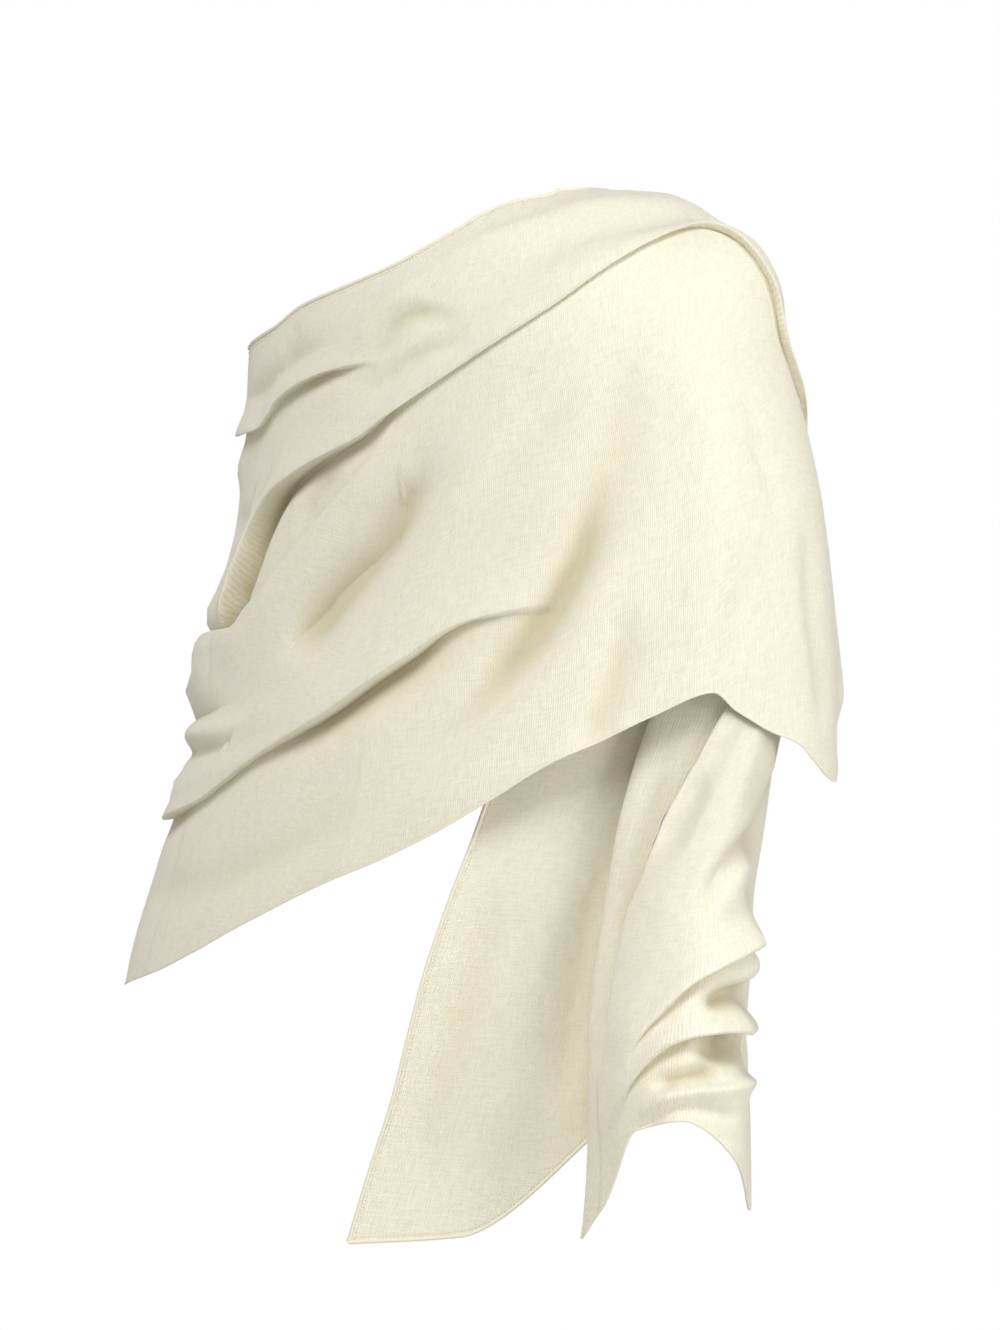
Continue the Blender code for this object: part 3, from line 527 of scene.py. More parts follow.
def wound_point(turn, reach):
    """Point of the wound cloth before its folds, as (across, height, near)."""
    turn = np.asarray(turn, float)
    angle = np.radians(turn)
    left = ring_value("left", reach)
    right = ring_value("right", reach)
    height = monotone_curve(RING_REACH, RING_HEIGHTS, reach)
    sine = np.sin(angle)
    depth = np.where(sine > 0, ring_value("front", reach), ring_value("back", reach))
    inset = UNDER_INSET * ease((turn - UNDER_START_TURN) / UNDER_BLEND)
    across = (left + right) / 2 + ((right - left) / 2 - inset) * np.cos(angle)
    near = (depth - inset) * sine + ring_value("skew", reach) * np.cos(angle)
    gather_part = np.maximum((turn - GATHER_TURN) / (BACK_END_TURN - GATHER_TURN), 0.0)
    gather = gather_part ** 2 * (1.5 - 0.5 * gather_part)
    across = across + (section_value("seam", 0, height) - across) * gather
    near = near + (section_value("seam", 1, height) - near) * gather
    return np.stack([across, height, near], axis=-1)


def turn_of(across, reach):
    """Turn at which the viewer's side of the rings has this place across."""
    left = ring_value("left", reach)
    right = ring_value("right", reach)
    cosine = np.clip((across - (left + right) / 2) / ((right - left) / 2), -1.0, 1.0)
    return np.degrees(np.arccos(cosine))


def spline(before, start, end, after, part):
    """Place on a smooth curve from start to end, between their neighbours."""
    return 0.5 * (2 * start + (end - before) * part + (2 * before - 5 * start + 4 * end - after) * part ** 2
                  + (3 * start - before - 3 * end + after) * part ** 3)


def rounded_path(points, steps=6):
    """Smooth path through the points, as a denser list."""
    points = np.asarray(points, float)
    if len(points) < 3:
        return points
    padded = np.vstack([2 * points[0] - points[1], points, 2 * points[-1] - points[-2]])
    path = []
    for index in range(1, len(padded) - 2):
        path.extend(spline(*padded[index - 1:index + 3], part) for part in np.arange(steps) / steps)
    path.append(padded[-2])
    return np.array(path)


def wound_path(past_right, stations, past_left):
    """Path of a fold as (distance round, distance down) on the wound cloth."""
    heights = [height for _, height in past_right + stations + past_left]
    reach = reach_at_height(heights)
    seen = slice(len(past_right), len(past_right) + len(stations))
    turn = np.array([turn for turn, _ in past_right + stations + past_left], float)
    turn[seen] = turn_of(turn[seen], reach[seen])
    return rounded_path(np.column_stack([np.radians(turn) * TURN_RADIUS, reach]))


def flat_path(stations):
    """Path of a sleeve fold as (distance leftward, distance down)."""
    return rounded_path(-np.array(stations, float))


def fold_offsets(path, places):
    """Signed distance to a fold's path, the share of its length, and the way across it."""
    starts = path[:-1]
    runs = np.diff(path, axis=0)
    lengths = np.hypot(runs[:, 0], runs[:, 1])
    gap = places[:, None] - starts
    share = np.clip((gap * runs).sum(-1) / lengths ** 2, 0.0, 1.0)
    gap = gap - share[..., None] * runs
    distance = np.hypot(gap[..., 0], gap[..., 1])
    nearest = distance.argmin(-1)
    rows = np.arange(len(places))
    shortest = distance[rows, nearest]
    travelled = np.concatenate(([0.0], np.cumsum(lengths)))[nearest] + share[rows, nearest] * lengths[nearest]
    unit = runs / lengths[:, None]
    # Paths run leftward, so the way across them points down the cloth
    across_way = np.stack([-unit[:, 1], unit[:, 0]], axis=-1)[nearest]
    below = (gap[rows, nearest] * across_way).sum(-1) >= 0
    return np.where(below, shortest, -shortest), travelled / lengths.sum(), across_way


def bump(value):
    return np.exp(-value ** 2)


def fade(along, at_start, at_end):
    start = ease(along / at_start) if at_start > 0 else np.ones_like(along)
    end = ease((1 - along) / at_end) if at_end > 0 else np.ones_like(along)
    return start * end


def lip_size(lip, name, along):
    table = np.array(lip.sizes, float)
    return monotone_curve(table[:, 0], table[:, LipSize._fields.index(name)], along)


def lip_shape(lip, signed, along):
    """How far a lip stands out, and how far the cloth is carried down across it."""
    lift, hang, crown, tuck, groove, hollow = (lip_size(lip, name, along) for name in LipSize._fields[1:])
    turned = np.clip(signed / tuck, 0.0, 1.0)
    swing = (1 - np.cos(math.pi * turned)) / 2
    past = np.maximum(signed - tuck, 0.0)
    hang_over = HANG_OVER * hang
    hang_under = HANG_UNDER * hang
    # The fold closes up as it fades, so the cloth that it takes fades with it
    taken = np.minimum(1.0, lift / 3)
    crown_out = lift * bump(signed / crown)
    crown_down = hang_over * bump(signed / (1.3 * crown))
    turn_out = lift - (lift + groove) * swing
    roll = 0.3 * lift * np.sin(math.pi * turned) * (1 - turned)
    turn_down = hang_over - hang * swing + roll - signed * taken
    past_out = -groove * bump(past / hollow)
    past_down = -(hang_under + tuck * taken) * bump(past / (1.5 * hollow + tuck))
    out = np.where(signed <= 0, crown_out, np.where(signed < tuck, turn_out, past_out))
    down = np.where(signed <= 0, crown_down, np.where(signed < tuck, turn_down, past_down))
    return out, down


def fold_relief(lip_paths, soft_paths, places):
    """How far folds move the cloth out, and how far along the two ways of the surface."""
    out = np.zeros(len(places))
    slide = np.zeros((len(places), 2))
    for fold, path in lip_paths + soft_paths:
        low = path.min(axis=0) - FOLD_MARGIN
        high = path.max(axis=0) + FOLD_MARGIN
        close = ((places > low) & (places < high)).all(axis=1)
        if not close.any():
            continue
        signed, along, across_way = fold_offsets(path, places[close])
        if isinstance(fold, Lip):
            stand, down = lip_shape(fold, signed * fold.side, along)
            out[close] += stand
            slide[close] += across_way * (down * fold.side)[:, None]
        else:
            width = np.where(signed < 0, fold.up, fold.down)
            out[close] += fold.lift * bump(signed / width) * fade(along, fold.fade_start, fold.fade_end)
    return out, slide


LIP_PATHS = [(lip, wound_path(lip.past_right, lip.stations, lip.past_left)) for lip in LIPS]
SOFT_PATHS = [(fold, wound_path((), fold.stations, fold.past_left)) for fold in SOFT_FOLDS + BACK_FOLDS]
SLEEVE_LIP_PATHS = [(lip, flat_path(lip.stations)) for lip in SLEEVE_LIPS]
SLEEVE_SOFT_PATHS = [(fold, flat_path(fold.stations)) for fold in SLEEVE_FOLDS]
TAIL_SOFT_PATHS = [(fold, flat_path(fold.stations)) for fold in TAIL_FOLDS]


def unit_vectors(vectors):
    return vectors / np.linalg.norm(vectors, axis=-1, keepdims=True)


def folded(base, way_round, way_down, out, slide):
    """Points moved along their surface by the folds, with the depth of each hollow as a fourth value."""
    way_out = unit_vectors(np.cross(way_round, way_down))
    moved = base + way_out * out[..., None] + way_round * slide[..., :1] + way_down * slide[..., 1:]
    # The depth of each hollow sets how much shade is painted into the cloth's colour there
    depth = np.clip(-out / DEEPEST, 0.0, 1.0)
    return np.concatenate([moved, depth[..., None]], axis=-1)


def folded_wound_point(turn, reach):
    """Point of the wound cloth with its folds, as (across, height, near, depth)."""
    small = 0.5
    base = wound_point(turn, reach)
    turn_step = math.degrees(small / TURN_RADIUS)
    way_round = unit_vectors(base - wound_point(turn - turn_step, reach))
    way_down = unit_vectors(wound_point(turn, reach + small) - base)
    places = np.stack([np.radians(turn) * TURN_RADIUS, reach], axis=-1).reshape(-1, 2)
    out, slide = fold_relief(LIP_PATHS, SOFT_PATHS, places)
    return folded(base, way_round, way_down, out.reshape(turn.shape), slide.reshape(turn.shape + (2,)))


def lip_line(path, turn):
    """Distance down the cloth of a lip at this turn and its slope there, carried level past its ends."""
    turns = np.degrees(path[:, 0] / TURN_RADIUS)
    order = np.argsort(turns, kind="stable")
    step = 1.0
    here, ahead = np.interp((turn, turn + step), turns[order], path[order, 1])
    return here, (ahead - here) / math.radians(step) / TURN_RADIUS


def rows_down(turn):
    """Rows down the cloth at one turn, drawn close together along each lip."""
    top = float(reach_at_height(edge_height("top", turn)))
    bottom = float(reach_at_height(edge_height("bottom", turn)))
    gap = LEAST_LIP_GAP * (bottom - top)
    lines = [lip_line(path, turn) for _, path in LIP_PATHS]
    upper, band, chest, waist = [place for place, _ in lines]
    band = min(max(band, top + 2 * gap), bottom - 3 * gap)
    upper = min(max(upper, top + gap), band - gap)
    chest = min(max(chest, band + gap), bottom - 2 * gap)
    waist = min(max(waist, chest + gap), bottom - gap)
    centres = (top, upper, band, chest, waist, bottom)
    rows_before = [[]]
    rows_after = [[]]
    for (lip, path), (_, slope) in zip(LIP_PATHS, lines):
        steep = min(math.hypot(1.0, slope), STEEPEST)
        along = np.interp(math.radians(turn) * TURN_RADIUS, path[:, 0], np.linspace(0, 1, len(path)))
        crown, tuck, hollow = (
            float(lip_size(lip, name, along)) * steep for name in ("crown", "tuck", "hollow"))
        crown_side = [place * crown for place in CROWN_ROWS]
        tuck_side = [place * tuck for place in TUCK_ROWS] + [tuck + place * hollow for place in HOLLOW_ROWS]
        if lip.side < 0:
            crown_side, tuck_side = [[-place for place in reversed(side)] for side in (tuck_side, crown_side)]
        rows_before.append(crown_side)
        rows_after.append(tuck_side)
    rows_before.append([])
    rows_after.append([])
    rows = [top]
    for index, fillers in enumerate(ROWS_BETWEEN):
        start, end = centres[index], centres[index + 1]
        after, before = rows_after[index], rows_before[index + 1]
        needed = (after[-1] if after else 0.0) - (before[0] if before else 0.0)
        squeeze = min(1.0, FULLEST * (end - start) / needed) if needed > 0 else 1.0
        rows_below = [start + value * squeeze for value in after]
        rows_above = [end + value * squeeze for value in before]
        first = rows_below[-1] if rows_below else start
        last = rows_above[0] if rows_above else end
        between = [first + (last - first) * (step + 1) / (fillers + 1) for step in range(fillers)]
        rows.extend(rows_below + between + rows_above + [end])
    return np.array(rows)


def wound_grid(first_turn, last_turn, columns):
    """Grid of points of the wound cloth between two turns, columns by rows, with a guard column each end."""
    step = (last_turn - first_turn) / columns
    turns = first_turn + step * np.arange(-1, columns + 2)
    reaches = np.array([rows_down(turn) for turn in turns])
    turn_grid = np.repeat(turns[:, None], reaches.shape[1], axis=1)
    return folded_wound_point(turn_grid, reaches)


def line_grid(reach_rows, columns, rows, lip_paths, soft_paths):
    """Grid of points across the sleeve or the tail, through its named lines, from the back to the front."""
    names = [row.line for row in reach_rows]
    places = np.linspace(len(names) - 1, 0, columns + 1)
    knots = np.arange(len(names))
    top = monotone_curve(knots, [row.top for row in reach_rows], places)
    bottom = monotone_curve(knots, [row.bottom for row in reach_rows], places)
    height = top[:, None] + (bottom - top)[:, None] * np.linspace(0, 1, rows + 1)
    lines = np.array([[section_value(name, axis, height) for axis in (0, 1)] for name in names])
    across, near = np.stack([soft_through(lines[:, :, column], place)
                             for column, place in enumerate(places)], axis=1)
    base = np.stack([across, height, near], axis=-1)
    flat = np.stack([-unrolled(across, near), -height], axis=-1).reshape(-1, 2)
    out, slide = fold_relief(lip_paths, soft_paths, flat)
    hold = np.ones_like(places)
    for line in HELD_LINES:
        if line in names:
            hold = hold * ease(np.abs(places - names.index(line)) / HELD_BLEND)
    out = out.reshape(height.shape) * hold[:, None]
    slide = slide.reshape(height.shape + (2,)) * hold[:, None, None]
    way_round = unit_vectors(np.gradient(base, axis=0))
    way_down = unit_vectors(np.gradient(base, axis=1))
    return folded(base, way_round, way_down, out, slide)


def unrolled(across, near):
    """Places across as seen, which run on by the length of the cloth past the right outline."""
    steps = np.hypot(np.diff(across, axis=0), np.diff(near, axis=0))
    length = np.concatenate([np.zeros((1, across.shape[1])), np.cumsum(steps, axis=0)])
    outline = across.argmax(axis=0)
    rows = np.arange(across.shape[1])
    past = np.maximum(length[outline, rows] - length, 0.0)
    return np.where(past > 0, across[outline, rows] + past, across)


def soft_through(values, place):
    """Value on a smooth curve through evenly spaced values, which may be arrays."""
    last = len(values) - 1
    index = min(int(place), last - 1)
    part = place - index
    before = values[index - 1] if index > 0 else 2 * values[0] - values[1]
    after = values[index + 2] if index + 2 <= last else 2 * values[last] - values[last - 1]
    return spline(before, values[index], values[index + 1], after, part)


def to_world(grid):
    """Table coordinates to metres in the wearer's frame."""
    across = grid[..., 0] * STEP_MM
    height = grid[..., 1] * STEP_MM
    near = (grid[..., 2] - SHOULDER_NEAR) * STEP_MM
    x = across * math.cos(VIEW_TURN) + near * math.sin(VIEW_TURN)
    y = across * math.sin(VIEW_TURN) - near * math.cos(VIEW_TURN)
    return np.stack([x, y, height], axis=-1)


def view_point(across, height):
    """World point in the plane of the shoulder, square to the line of sight."""
    return Vector(to_world(np.array((across, height, SHOULDER_NEAR))))


def line_below_edge(grid, distance):
    """Points at this distance down the cloth from the first row of a grid, column by column."""
    steps = np.linalg.norm(np.diff(grid[..., :3], axis=1), axis=-1)
    down = np.concatenate([np.zeros((grid.shape[0], 1)), np.cumsum(steps, axis=1)], axis=1)
    return np.array([[np.interp(distance, down[column], grid[column, :, axis]) for axis in range(3)]
                     for column in range(grid.shape[0])])


def grid_normals(points):
    along = np.gradient(points, axis=0)
    down = np.gradient(points, axis=1)
    return unit_vectors(np.cross(along, down))


def shell_mesh(name, grid, guards, thickness):
    """Closed thin shell of cloth with its weave laid out in metres on a UV map.

    Where there are guard columns, one at each end, they only set the direction of the cloth at a join.
    """
    points = to_world(grid)
    normals = grid_normals(points)
    weave_places = surface_lengths(points)
    depth = grid[..., 3]
    if guards:
        points, normals, weave_places, depth = points[1:-1], normals[1:-1], weave_places[1:-1], depth[1:-1]
    columns, rows = points.shape[:2]
    inner = points - normals * thickness
    vertices = np.concatenate([points.reshape(-1, 3), inner.reshape(-1, 3)])
    offset = columns * rows
    place = np.arange(offset).reshape(columns, rows)
    outside = np.stack([place[:-1, :-1], place[1:, :-1], place[1:, 1:], place[:-1, 1:]], axis=-1)
    outside = outside.reshape(-1, 4)
    inside = outside[:, ::-1] + offset
    rim = np.concatenate([place[:, 0], place[-1, 1:], place[-2::-1, -1], place[0, -2:0:-1]])
    ahead = np.roll(rim, -1)
    edge = np.stack([ahead, rim, rim + offset, ahead + offset], axis=-1)
    faces = np.concatenate([outside, inside, edge])
    mesh = bpy.data.meshes.new(name)
    mesh.from_pydata(vertices.tolist(), [], faces.tolist())
    weave = mesh.uv_layers.new(name="weave")
    places = np.concatenate([weave_places.reshape(-1, 2), weave_places.reshape(-1, 2)])
    corners = np.empty(len(mesh.loops), dtype=np.int32)
    mesh.loops.foreach_get("vertex_index", corners)
    weave.data.foreach_set("uv", places[corners].ravel())
    # Depth of each hollow, which the material paints as shade
    hollow = mesh.attributes.new("fold_depth", "FLOAT", "POINT")
    hollow.data.foreach_set("value", np.concatenate([depth.ravel(), depth.ravel()]))
    mesh.shade_smooth()
    # The rim keeps its own flat faces, and the cloth takes the directions of the grid, also at its joins
    smooth = np.concatenate([normals.reshape(-1, 3), -normals.reshape(-1, 3)])[corners]
    rim_start = (len(outside) + len(inside)) * 4
    smooth[rim_start:] = 0.0
    mesh.normals_split_custom_set(smooth.tolist())
    return mesh


def woven_piece(name, grid, guards, thickness, material):
    """One fine sheet of cloth as an object of the shawl."""
    mesh = shell_mesh(name, grid, guards, thickness)
    mesh.materials.append(material)
    return add_object(name, mesh)


def surface_lengths(points):
    """Length along the columns and down the rows of a grid, in metres, as weave places."""
    round_steps = np.linalg.norm(np.diff(points, axis=0), axis=-1)
    down_steps = np.linalg.norm(np.diff(points, axis=1), axis=-1)
    middle = points.shape[1] // 2
    round_place = np.concatenate(([0.0], np.cumsum(round_steps[:, middle])))
    down_place = np.concatenate([np.zeros((points.shape[0], 1)), np.cumsum(down_steps, axis=1)], axis=1)
    return np.stack([np.repeat(round_place[:, None], points.shape[1], axis=1), down_place], axis=-1)


def tube_mesh(name, path, radius, sides):
    """Closed round tube along a path, with flat ends."""
    tangents = unit_vectors(np.gradient(path, axis=0))
    normal = np.cross(tangents[0], (0.0, 0.0, 1.0))
    if np.linalg.norm(normal) < 0.1:
        normal = np.cross(tangents[0], (1.0, 0.0, 0.0))
    normals = []
    for tangent in tangents:
        normal = normal - tangent * np.dot(normal, tangent)
        normal = normal / np.linalg.norm(normal)
        normals.append(normal)
    normals = np.array(normals)
    sideways = np.cross(tangents, normals)
    angles = np.arange(sides) * 2 * math.pi / sides
    ring = (normals[:, None] * np.cos(angles)[None, :, None]
            + sideways[:, None] * np.sin(angles)[None, :, None])
    vertices = (path[:, None] + ring * radius).reshape(-1, 3)
    place = np.arange(len(path) * sides).reshape(len(path), sides)
    turned = np.roll(place, -1, axis=1)
    walls = np.stack([place[:-1], turned[:-1], turned[1:], place[1:]], axis=-1).reshape(-1, 4).tolist()
    faces = walls + [place[0][::-1].tolist(), place[-1].tolist()]
    mesh = bpy.data.meshes.new(name)
    mesh.from_pydata(vertices.tolist(), [], faces)
    mesh.validate()
    mesh.shade_smooth()
    mesh.set_sharp_from_angle(angle=math.radians(60.0))
    return mesh


def even_path(path, spacing):
    """The same path with its points a fixed distance apart."""
    lengths = np.concatenate(([0.0], np.cumsum(np.linalg.norm(np.diff(path, axis=0), axis=-1))))
    places = np.linspace(0, lengths[-1], max(int(lengths[-1] / spacing), 2))
    return np.stack([np.interp(places, lengths, path[:, axis]) for axis in range(3)], axis=-1)


def add_object(name, data):
    """New object of the scene, at the origin."""
    thing = bpy.data.objects.new(name, data)
    bpy.context.scene.collection.objects.link(thing)
    return thing


def set_inputs(tree, node, values):
    """Gives each named input of a node its value, or a link where the value is another node's output."""
    for key, value in values.items():
        if isinstance(value, bpy.types.NodeSocket):
            tree.links.new(value, node.inputs[key])
        else:
            node.inputs[key].default_value = value


def add_node(tree, kind, values=None, **settings):
    """New node with its own settings, then the values or links of its inputs."""
    node = tree.nodes.new(kind)
    for key, value in settings.items():
        setattr(node, key, value)
    set_inputs(tree, node, values or {})
    return node


def add_sockets(tree, in_out, rows):
    """Sockets of a tree from rows of (name, kind, default); gives their identifiers by name."""
    identifiers = {}
    for name, kind, default in rows:
        socket = tree.interface.new_socket(name=name, in_out=in_out, socket_type="NodeSocket" + kind)
        if default is not None:
            socket.default_value = default
        identifiers[name] = socket.identifier
    return identifiers


def calculated(tree, operation, first, second=None):
    """Output of a Math node whose inputs are outputs or plain numbers."""
    values = {0: first} if second is None else {0: first, 1: second}
    return add_node(tree, "ShaderNodeMath", values, operation=operation).outputs[0]


def noise(tree, place, scale, detail):
    node = add_node(tree, "ShaderNodeTexNoise", {"Vector": place, "Scale": scale, "Detail": detail})
    return node.outputs["Fac"]


def centred_noise(tree, place, scale, detail):
    return calculated(tree, "SUBTRACT", noise(tree, place, scale, detail), 0.5)


def mixed(tree, factor, first, second):
    """Mix of two colours, each an output or a plain colour."""
    mix = add_node(tree, "ShaderNodeMix", {"Factor": factor, 6: first, 7: second}, data_type="RGBA")
    return mix.outputs[2]


def weave_group():
    """Shader group for fine woven wool: yarns both ways, slubs and a soft nap, with shade painted between the
    yarns and in the hollows of the folds.
    """
    group = bpy.data.node_groups.new("Cashmere Weave", "ShaderNodeTree")
    add_sockets(group, "INPUT", (
        ("Weave Place", "Vector", None),
        ("Yarn Pitch", "Float", 0.0012),
        ("Light Colour", "Color", (0.9, 0.85, 0.7, 1.0)),
        ("Deep Colour", "Color", (0.8, 0.72, 0.55, 1.0)),
        ("Warm Colour", "Color", (0.84, 0.7, 0.5, 1.0)),
        ("Fold Depth", "Float", 0.0),
        ("Slub Strength", "Float", 0.5),
    ))
    add_sockets(group, "OUTPUT", (
        ("Colour", "Color", None),
        ("Relief", "Float", None),
        ("Roughness", "Float", None),
    ))
    given = group.nodes.new("NodeGroupInput").outputs
    place = given["Weave Place"]

    def calc(operation, first, second=None):
        return calculated(group, operation, first, second)

    # Yarns both ways, which wander a little
    drift = calc("MULTIPLY", centred_noise(group, place, *YARN_WANDER), YARN_DRIFT)
    rate = calc("DIVIDE", math.tau, given["Yarn Pitch"])
    split = add_node(group, "ShaderNodeSeparateXYZ", {0: place}).outputs
    warp, weft = [calc("SINE", calc("MULTIPLY", calc("ADD", split[axis], drift), rate)) for axis in "XY"]
    yarns = calc("ADD", calc("MULTIPLY", warp, 0.6), calc("MULTIPLY", calc("MULTIPLY", warp, weft), 0.5))
    # Thicker places in the yarns, and the nap
    slubs = []
    for stretch in SLUB_STRETCHES:
        stretched = add_node(group, "ShaderNodeMapping", {"Vector": place, "Scale": stretch}).outputs[0]
        slubs.append(centred_noise(group, stretched, 1.0, 2.0))
    slubs = calc("MULTIPLY", calc("MULTIPLY", calc("ADD", *slubs), given["Slub Strength"]), 4.0)
    nap = centred_noise(group, place, *NAP_NOISE)
    relief = calc("ADD", calc("ADD", yarns, slubs), calc("MULTIPLY", nap, 1.6))
    relief = calc("ADD", calc("MULTIPLY", relief, 0.2), 0.5)
    # The cloth is deeper between its yarns, partly as painted shade that follows the relief, cloudy over a
    # hand's width at random, and painted with a darker, warmer shade in its hollows
    shade = calc("MULTIPLY", centred_noise(group, place, *CLOUD_NOISE), 0.6)
    # Painted shade between the yarns: the colour deepens where the relief is low
    grain = calc("MULTIPLY", calc("SUBTRACT", 0.5, relief), 3.2)
    shade = calc("ADD", calc("ADD", shade, grain), 0.4)
    woven = mixed(group, shade, given["Light Colour"], given["Deep Colour"])
    # Painted shade in the hollows: darker and warmer where a fold is deeper
    colour = mixed(group, calc("POWER", given["Fold Depth"], 1.5), woven, given["Warm Colour"])
    rough = calc("ADD", calc("MULTIPLY", nap, 0.12), 0.86)
    add_node(group, "NodeGroupOutput", {"Colour": colour, "Relief": relief, "Roughness": rough})
    return group


def new_material(name):
    """Plain material, with its node tree and its shader."""
    material = bpy.data.materials.new(name)
    material.use_nodes = True
    return material, material.node_tree, material.node_tree.nodes["Principled BSDF"]


def cashmere_material(name, group, settings):
    """Soft matte cashmere on a piece's own weave map."""
    material, tree, shader = new_material(name)
    weave = add_node(tree, "ShaderNodeGroup", {
        "Weave Place": add_node(tree, "ShaderNodeUVMap", uv_map="weave").outputs["UV"],
        "Yarn Pitch": settings.yarn_pitch,
        "Light Colour": (*settings.light_colour, 1.0),
        "Deep Colour": (*settings.deep_colour, 1.0),
        "Warm Colour": (*settings.warm_colour, 1.0),
        "Fold Depth": add_node(tree, "ShaderNodeAttribute", attribute_name="fold_depth").outputs["Fac"],
        "Slub Strength": settings.slub_strength,
    }, node_tree=group).outputs
    bump_node = add_node(tree, "ShaderNodeBump", {
        "Strength": 0.7, "Distance": settings.yarn_relief, "Height": weave["Relief"]})
    set_inputs(tree, shader, {
        "Base Color": weave["Colour"],
        "Roughness": weave["Roughness"],
        "Normal": bump_node.outputs["Normal"],
        "Metallic": 0.0,
        "Specular IOR Level": 0.25,
        "Sheen Weight": settings.sheen,
        "Sheen Roughness": 0.45,
        "Sheen Tint": (1.0, 0.97, 0.9, 1.0),
        "Subsurface Weight": settings.glow,
        "Subsurface Radius": (1.0, 0.72, 0.45),
        "Subsurface Scale": 0.003,
    })
    return material


def yarn_material(name, colour):
    """Sewing yarn and rolled edges, with a twist seen along Object coordinates."""
    material, tree, shader = new_material(name)
    grain = noise(tree, add_node(tree, "ShaderNodeTexCoord").outputs["Object"], *TWIST_NOISE)
    shaded = (*[channel * 0.86 for channel in colour], 1.0)
    bump_node = add_node(tree, "ShaderNodeBump", {"Strength": 0.6, "Distance": 0.0003, "Height": grain})
    set_inputs(tree, shader, {
        "Base Color": mixed(tree, grain, shaded, (*colour, 1.0)),
        "Normal": bump_node.outputs["Normal"],
        "Roughness": 0.8,
        "Sheen Weight": 0.3,
    })
    return material


def stitch_tree(material):
    """Geometry Nodes tree that sets a stitch at each step along a path."""
    tree = bpy.data.node_groups.new("Hem Stitches", "GeometryNodeTree")
    sockets = add_sockets(tree, "INPUT", (
        ("Path", "Geometry", None),
        ("Stitch Spacing", "Float", 0.0022),
        ("Stitch Length", "Float", 0.0016),
        ("Yarn Width", "Float", 0.0006),
        ("Slant", "Float", 0.3),
        ("Seed", "Int", 3),
    ))
    add_sockets(tree, "OUTPUT", (("Stitches", "Geometry", None),))
    given = tree.nodes.new("NodeGroupInput").outputs
    path = add_node(tree, "GeometryNodeMeshToCurve", {"Mesh": given["Path"]})
    level = add_node(tree, "GeometryNodeSetCurveNormal", {"Curve": path.outputs["Curve"]}, mode="Z_UP")
    points = add_node(tree, "GeometryNodeCurveToPoints", {
        "Curve": level.outputs["Curve"], "Length": given["Stitch Spacing"]}, mode="LENGTH").outputs
    bead = add_node(tree, "GeometryNodeMeshIcoSphere", {"Radius": 0.5, "Subdivisions": 1})
    size = add_node(tree, "ShaderNodeCombineXYZ", {
        "X": given["Yarn Width"], "Y": given["Yarn Width"], "Z": given["Stitch Length"]})
    jitter = add_node(tree, "FunctionNodeRandomValue", {2: 0.85, 3: 1.15, "Seed": given["Seed"]},
                      data_type="FLOAT")
    scaled = add_node(tree, "ShaderNodeVectorMath", {0: size.outputs[0], "Scale": jitter.outputs[1]},
                      operation="SCALE")
    slant = add_node(tree, "ShaderNodeCombineXYZ", {"X": given["Slant"]})
    tilt = add_node(tree, "FunctionNodeRotateRotation", {
        "Rotation": points["Rotation"], "Rotate By": slant.outputs[0]}, rotation_space="LOCAL")
    beads = add_node(tree, "GeometryNodeInstanceOnPoints", {
        "Points": points["Points"], "Instance": bead.outputs["Mesh"],
        "Rotation": tilt.outputs[0], "Scale": scaled.outputs[0]})
    real = add_node(tree, "GeometryNodeRealizeInstances", {"Geometry": beads.outputs["Instances"]})
    smooth = add_node(tree, "GeometryNodeSetShadeSmooth", {"Geometry": real.outputs["Geometry"]})
    finish = add_node(tree, "GeometryNodeSetMaterial", {
        "Geometry": smooth.outputs["Geometry"], "Material": material})
    add_node(tree, "NodeGroupOutput", {"Stitches": finish.outputs["Geometry"]})
    return tree, sockets


def stitched_piece(name, path, tree, sockets, settings, seed):
    """Row of stitches along a path, made by the tree and kept as a plain mesh."""
    line = bpy.data.meshes.new(name + "_path")
    line.from_pydata(path.tolist(), [(index, index + 1) for index in range(len(path) - 1)], [])
    guide = add_object(name + "_path", line)
    modifier = guide.modifiers.new("Stitches", "NODES")
    modifier.node_group = tree
    for socket, value in (
            ("Stitch Spacing", settings.stitch_spacing),
            ("Stitch Length", settings.stitch_length),
            ("Yarn Width", settings.yarn_width),
            ("Slant", settings.stitch_slant),
            ("Seed", seed)):
        modifier[sockets[socket]] = value
    evaluated = guide.evaluated_get(bpy.context.evaluated_depsgraph_get())
    mesh = bpy.data.meshes.new_from_object(evaluated)
    mesh.name = name
    guide.modifiers.remove(modifier)
    bpy.data.objects.remove(guide, do_unlink=True)
    bpy.data.meshes.remove(line)
    return add_object(name, mesh)


def dress(piece, nodes=()):
    """Fixes a piece to the model's body and hides the nodes that it stands for."""
    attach(piece, BODY)
    if nodes:
        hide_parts(*nodes)


def number(name, description, default, **kind):
    """Number that a user can change."""
    return bpy.props.FloatProperty(name=name, description=description, default=default, **kind)


def length(name, description, default):
    """Length that a user can change, in metres."""
    return number(name, description, default, unit="LENGTH", precision=5)


def tint(name, description, default):
    """Colour that a user can change."""
    return bpy.props.FloatVectorProperty(name=name, description=description, default=default, subtype="COLOR")


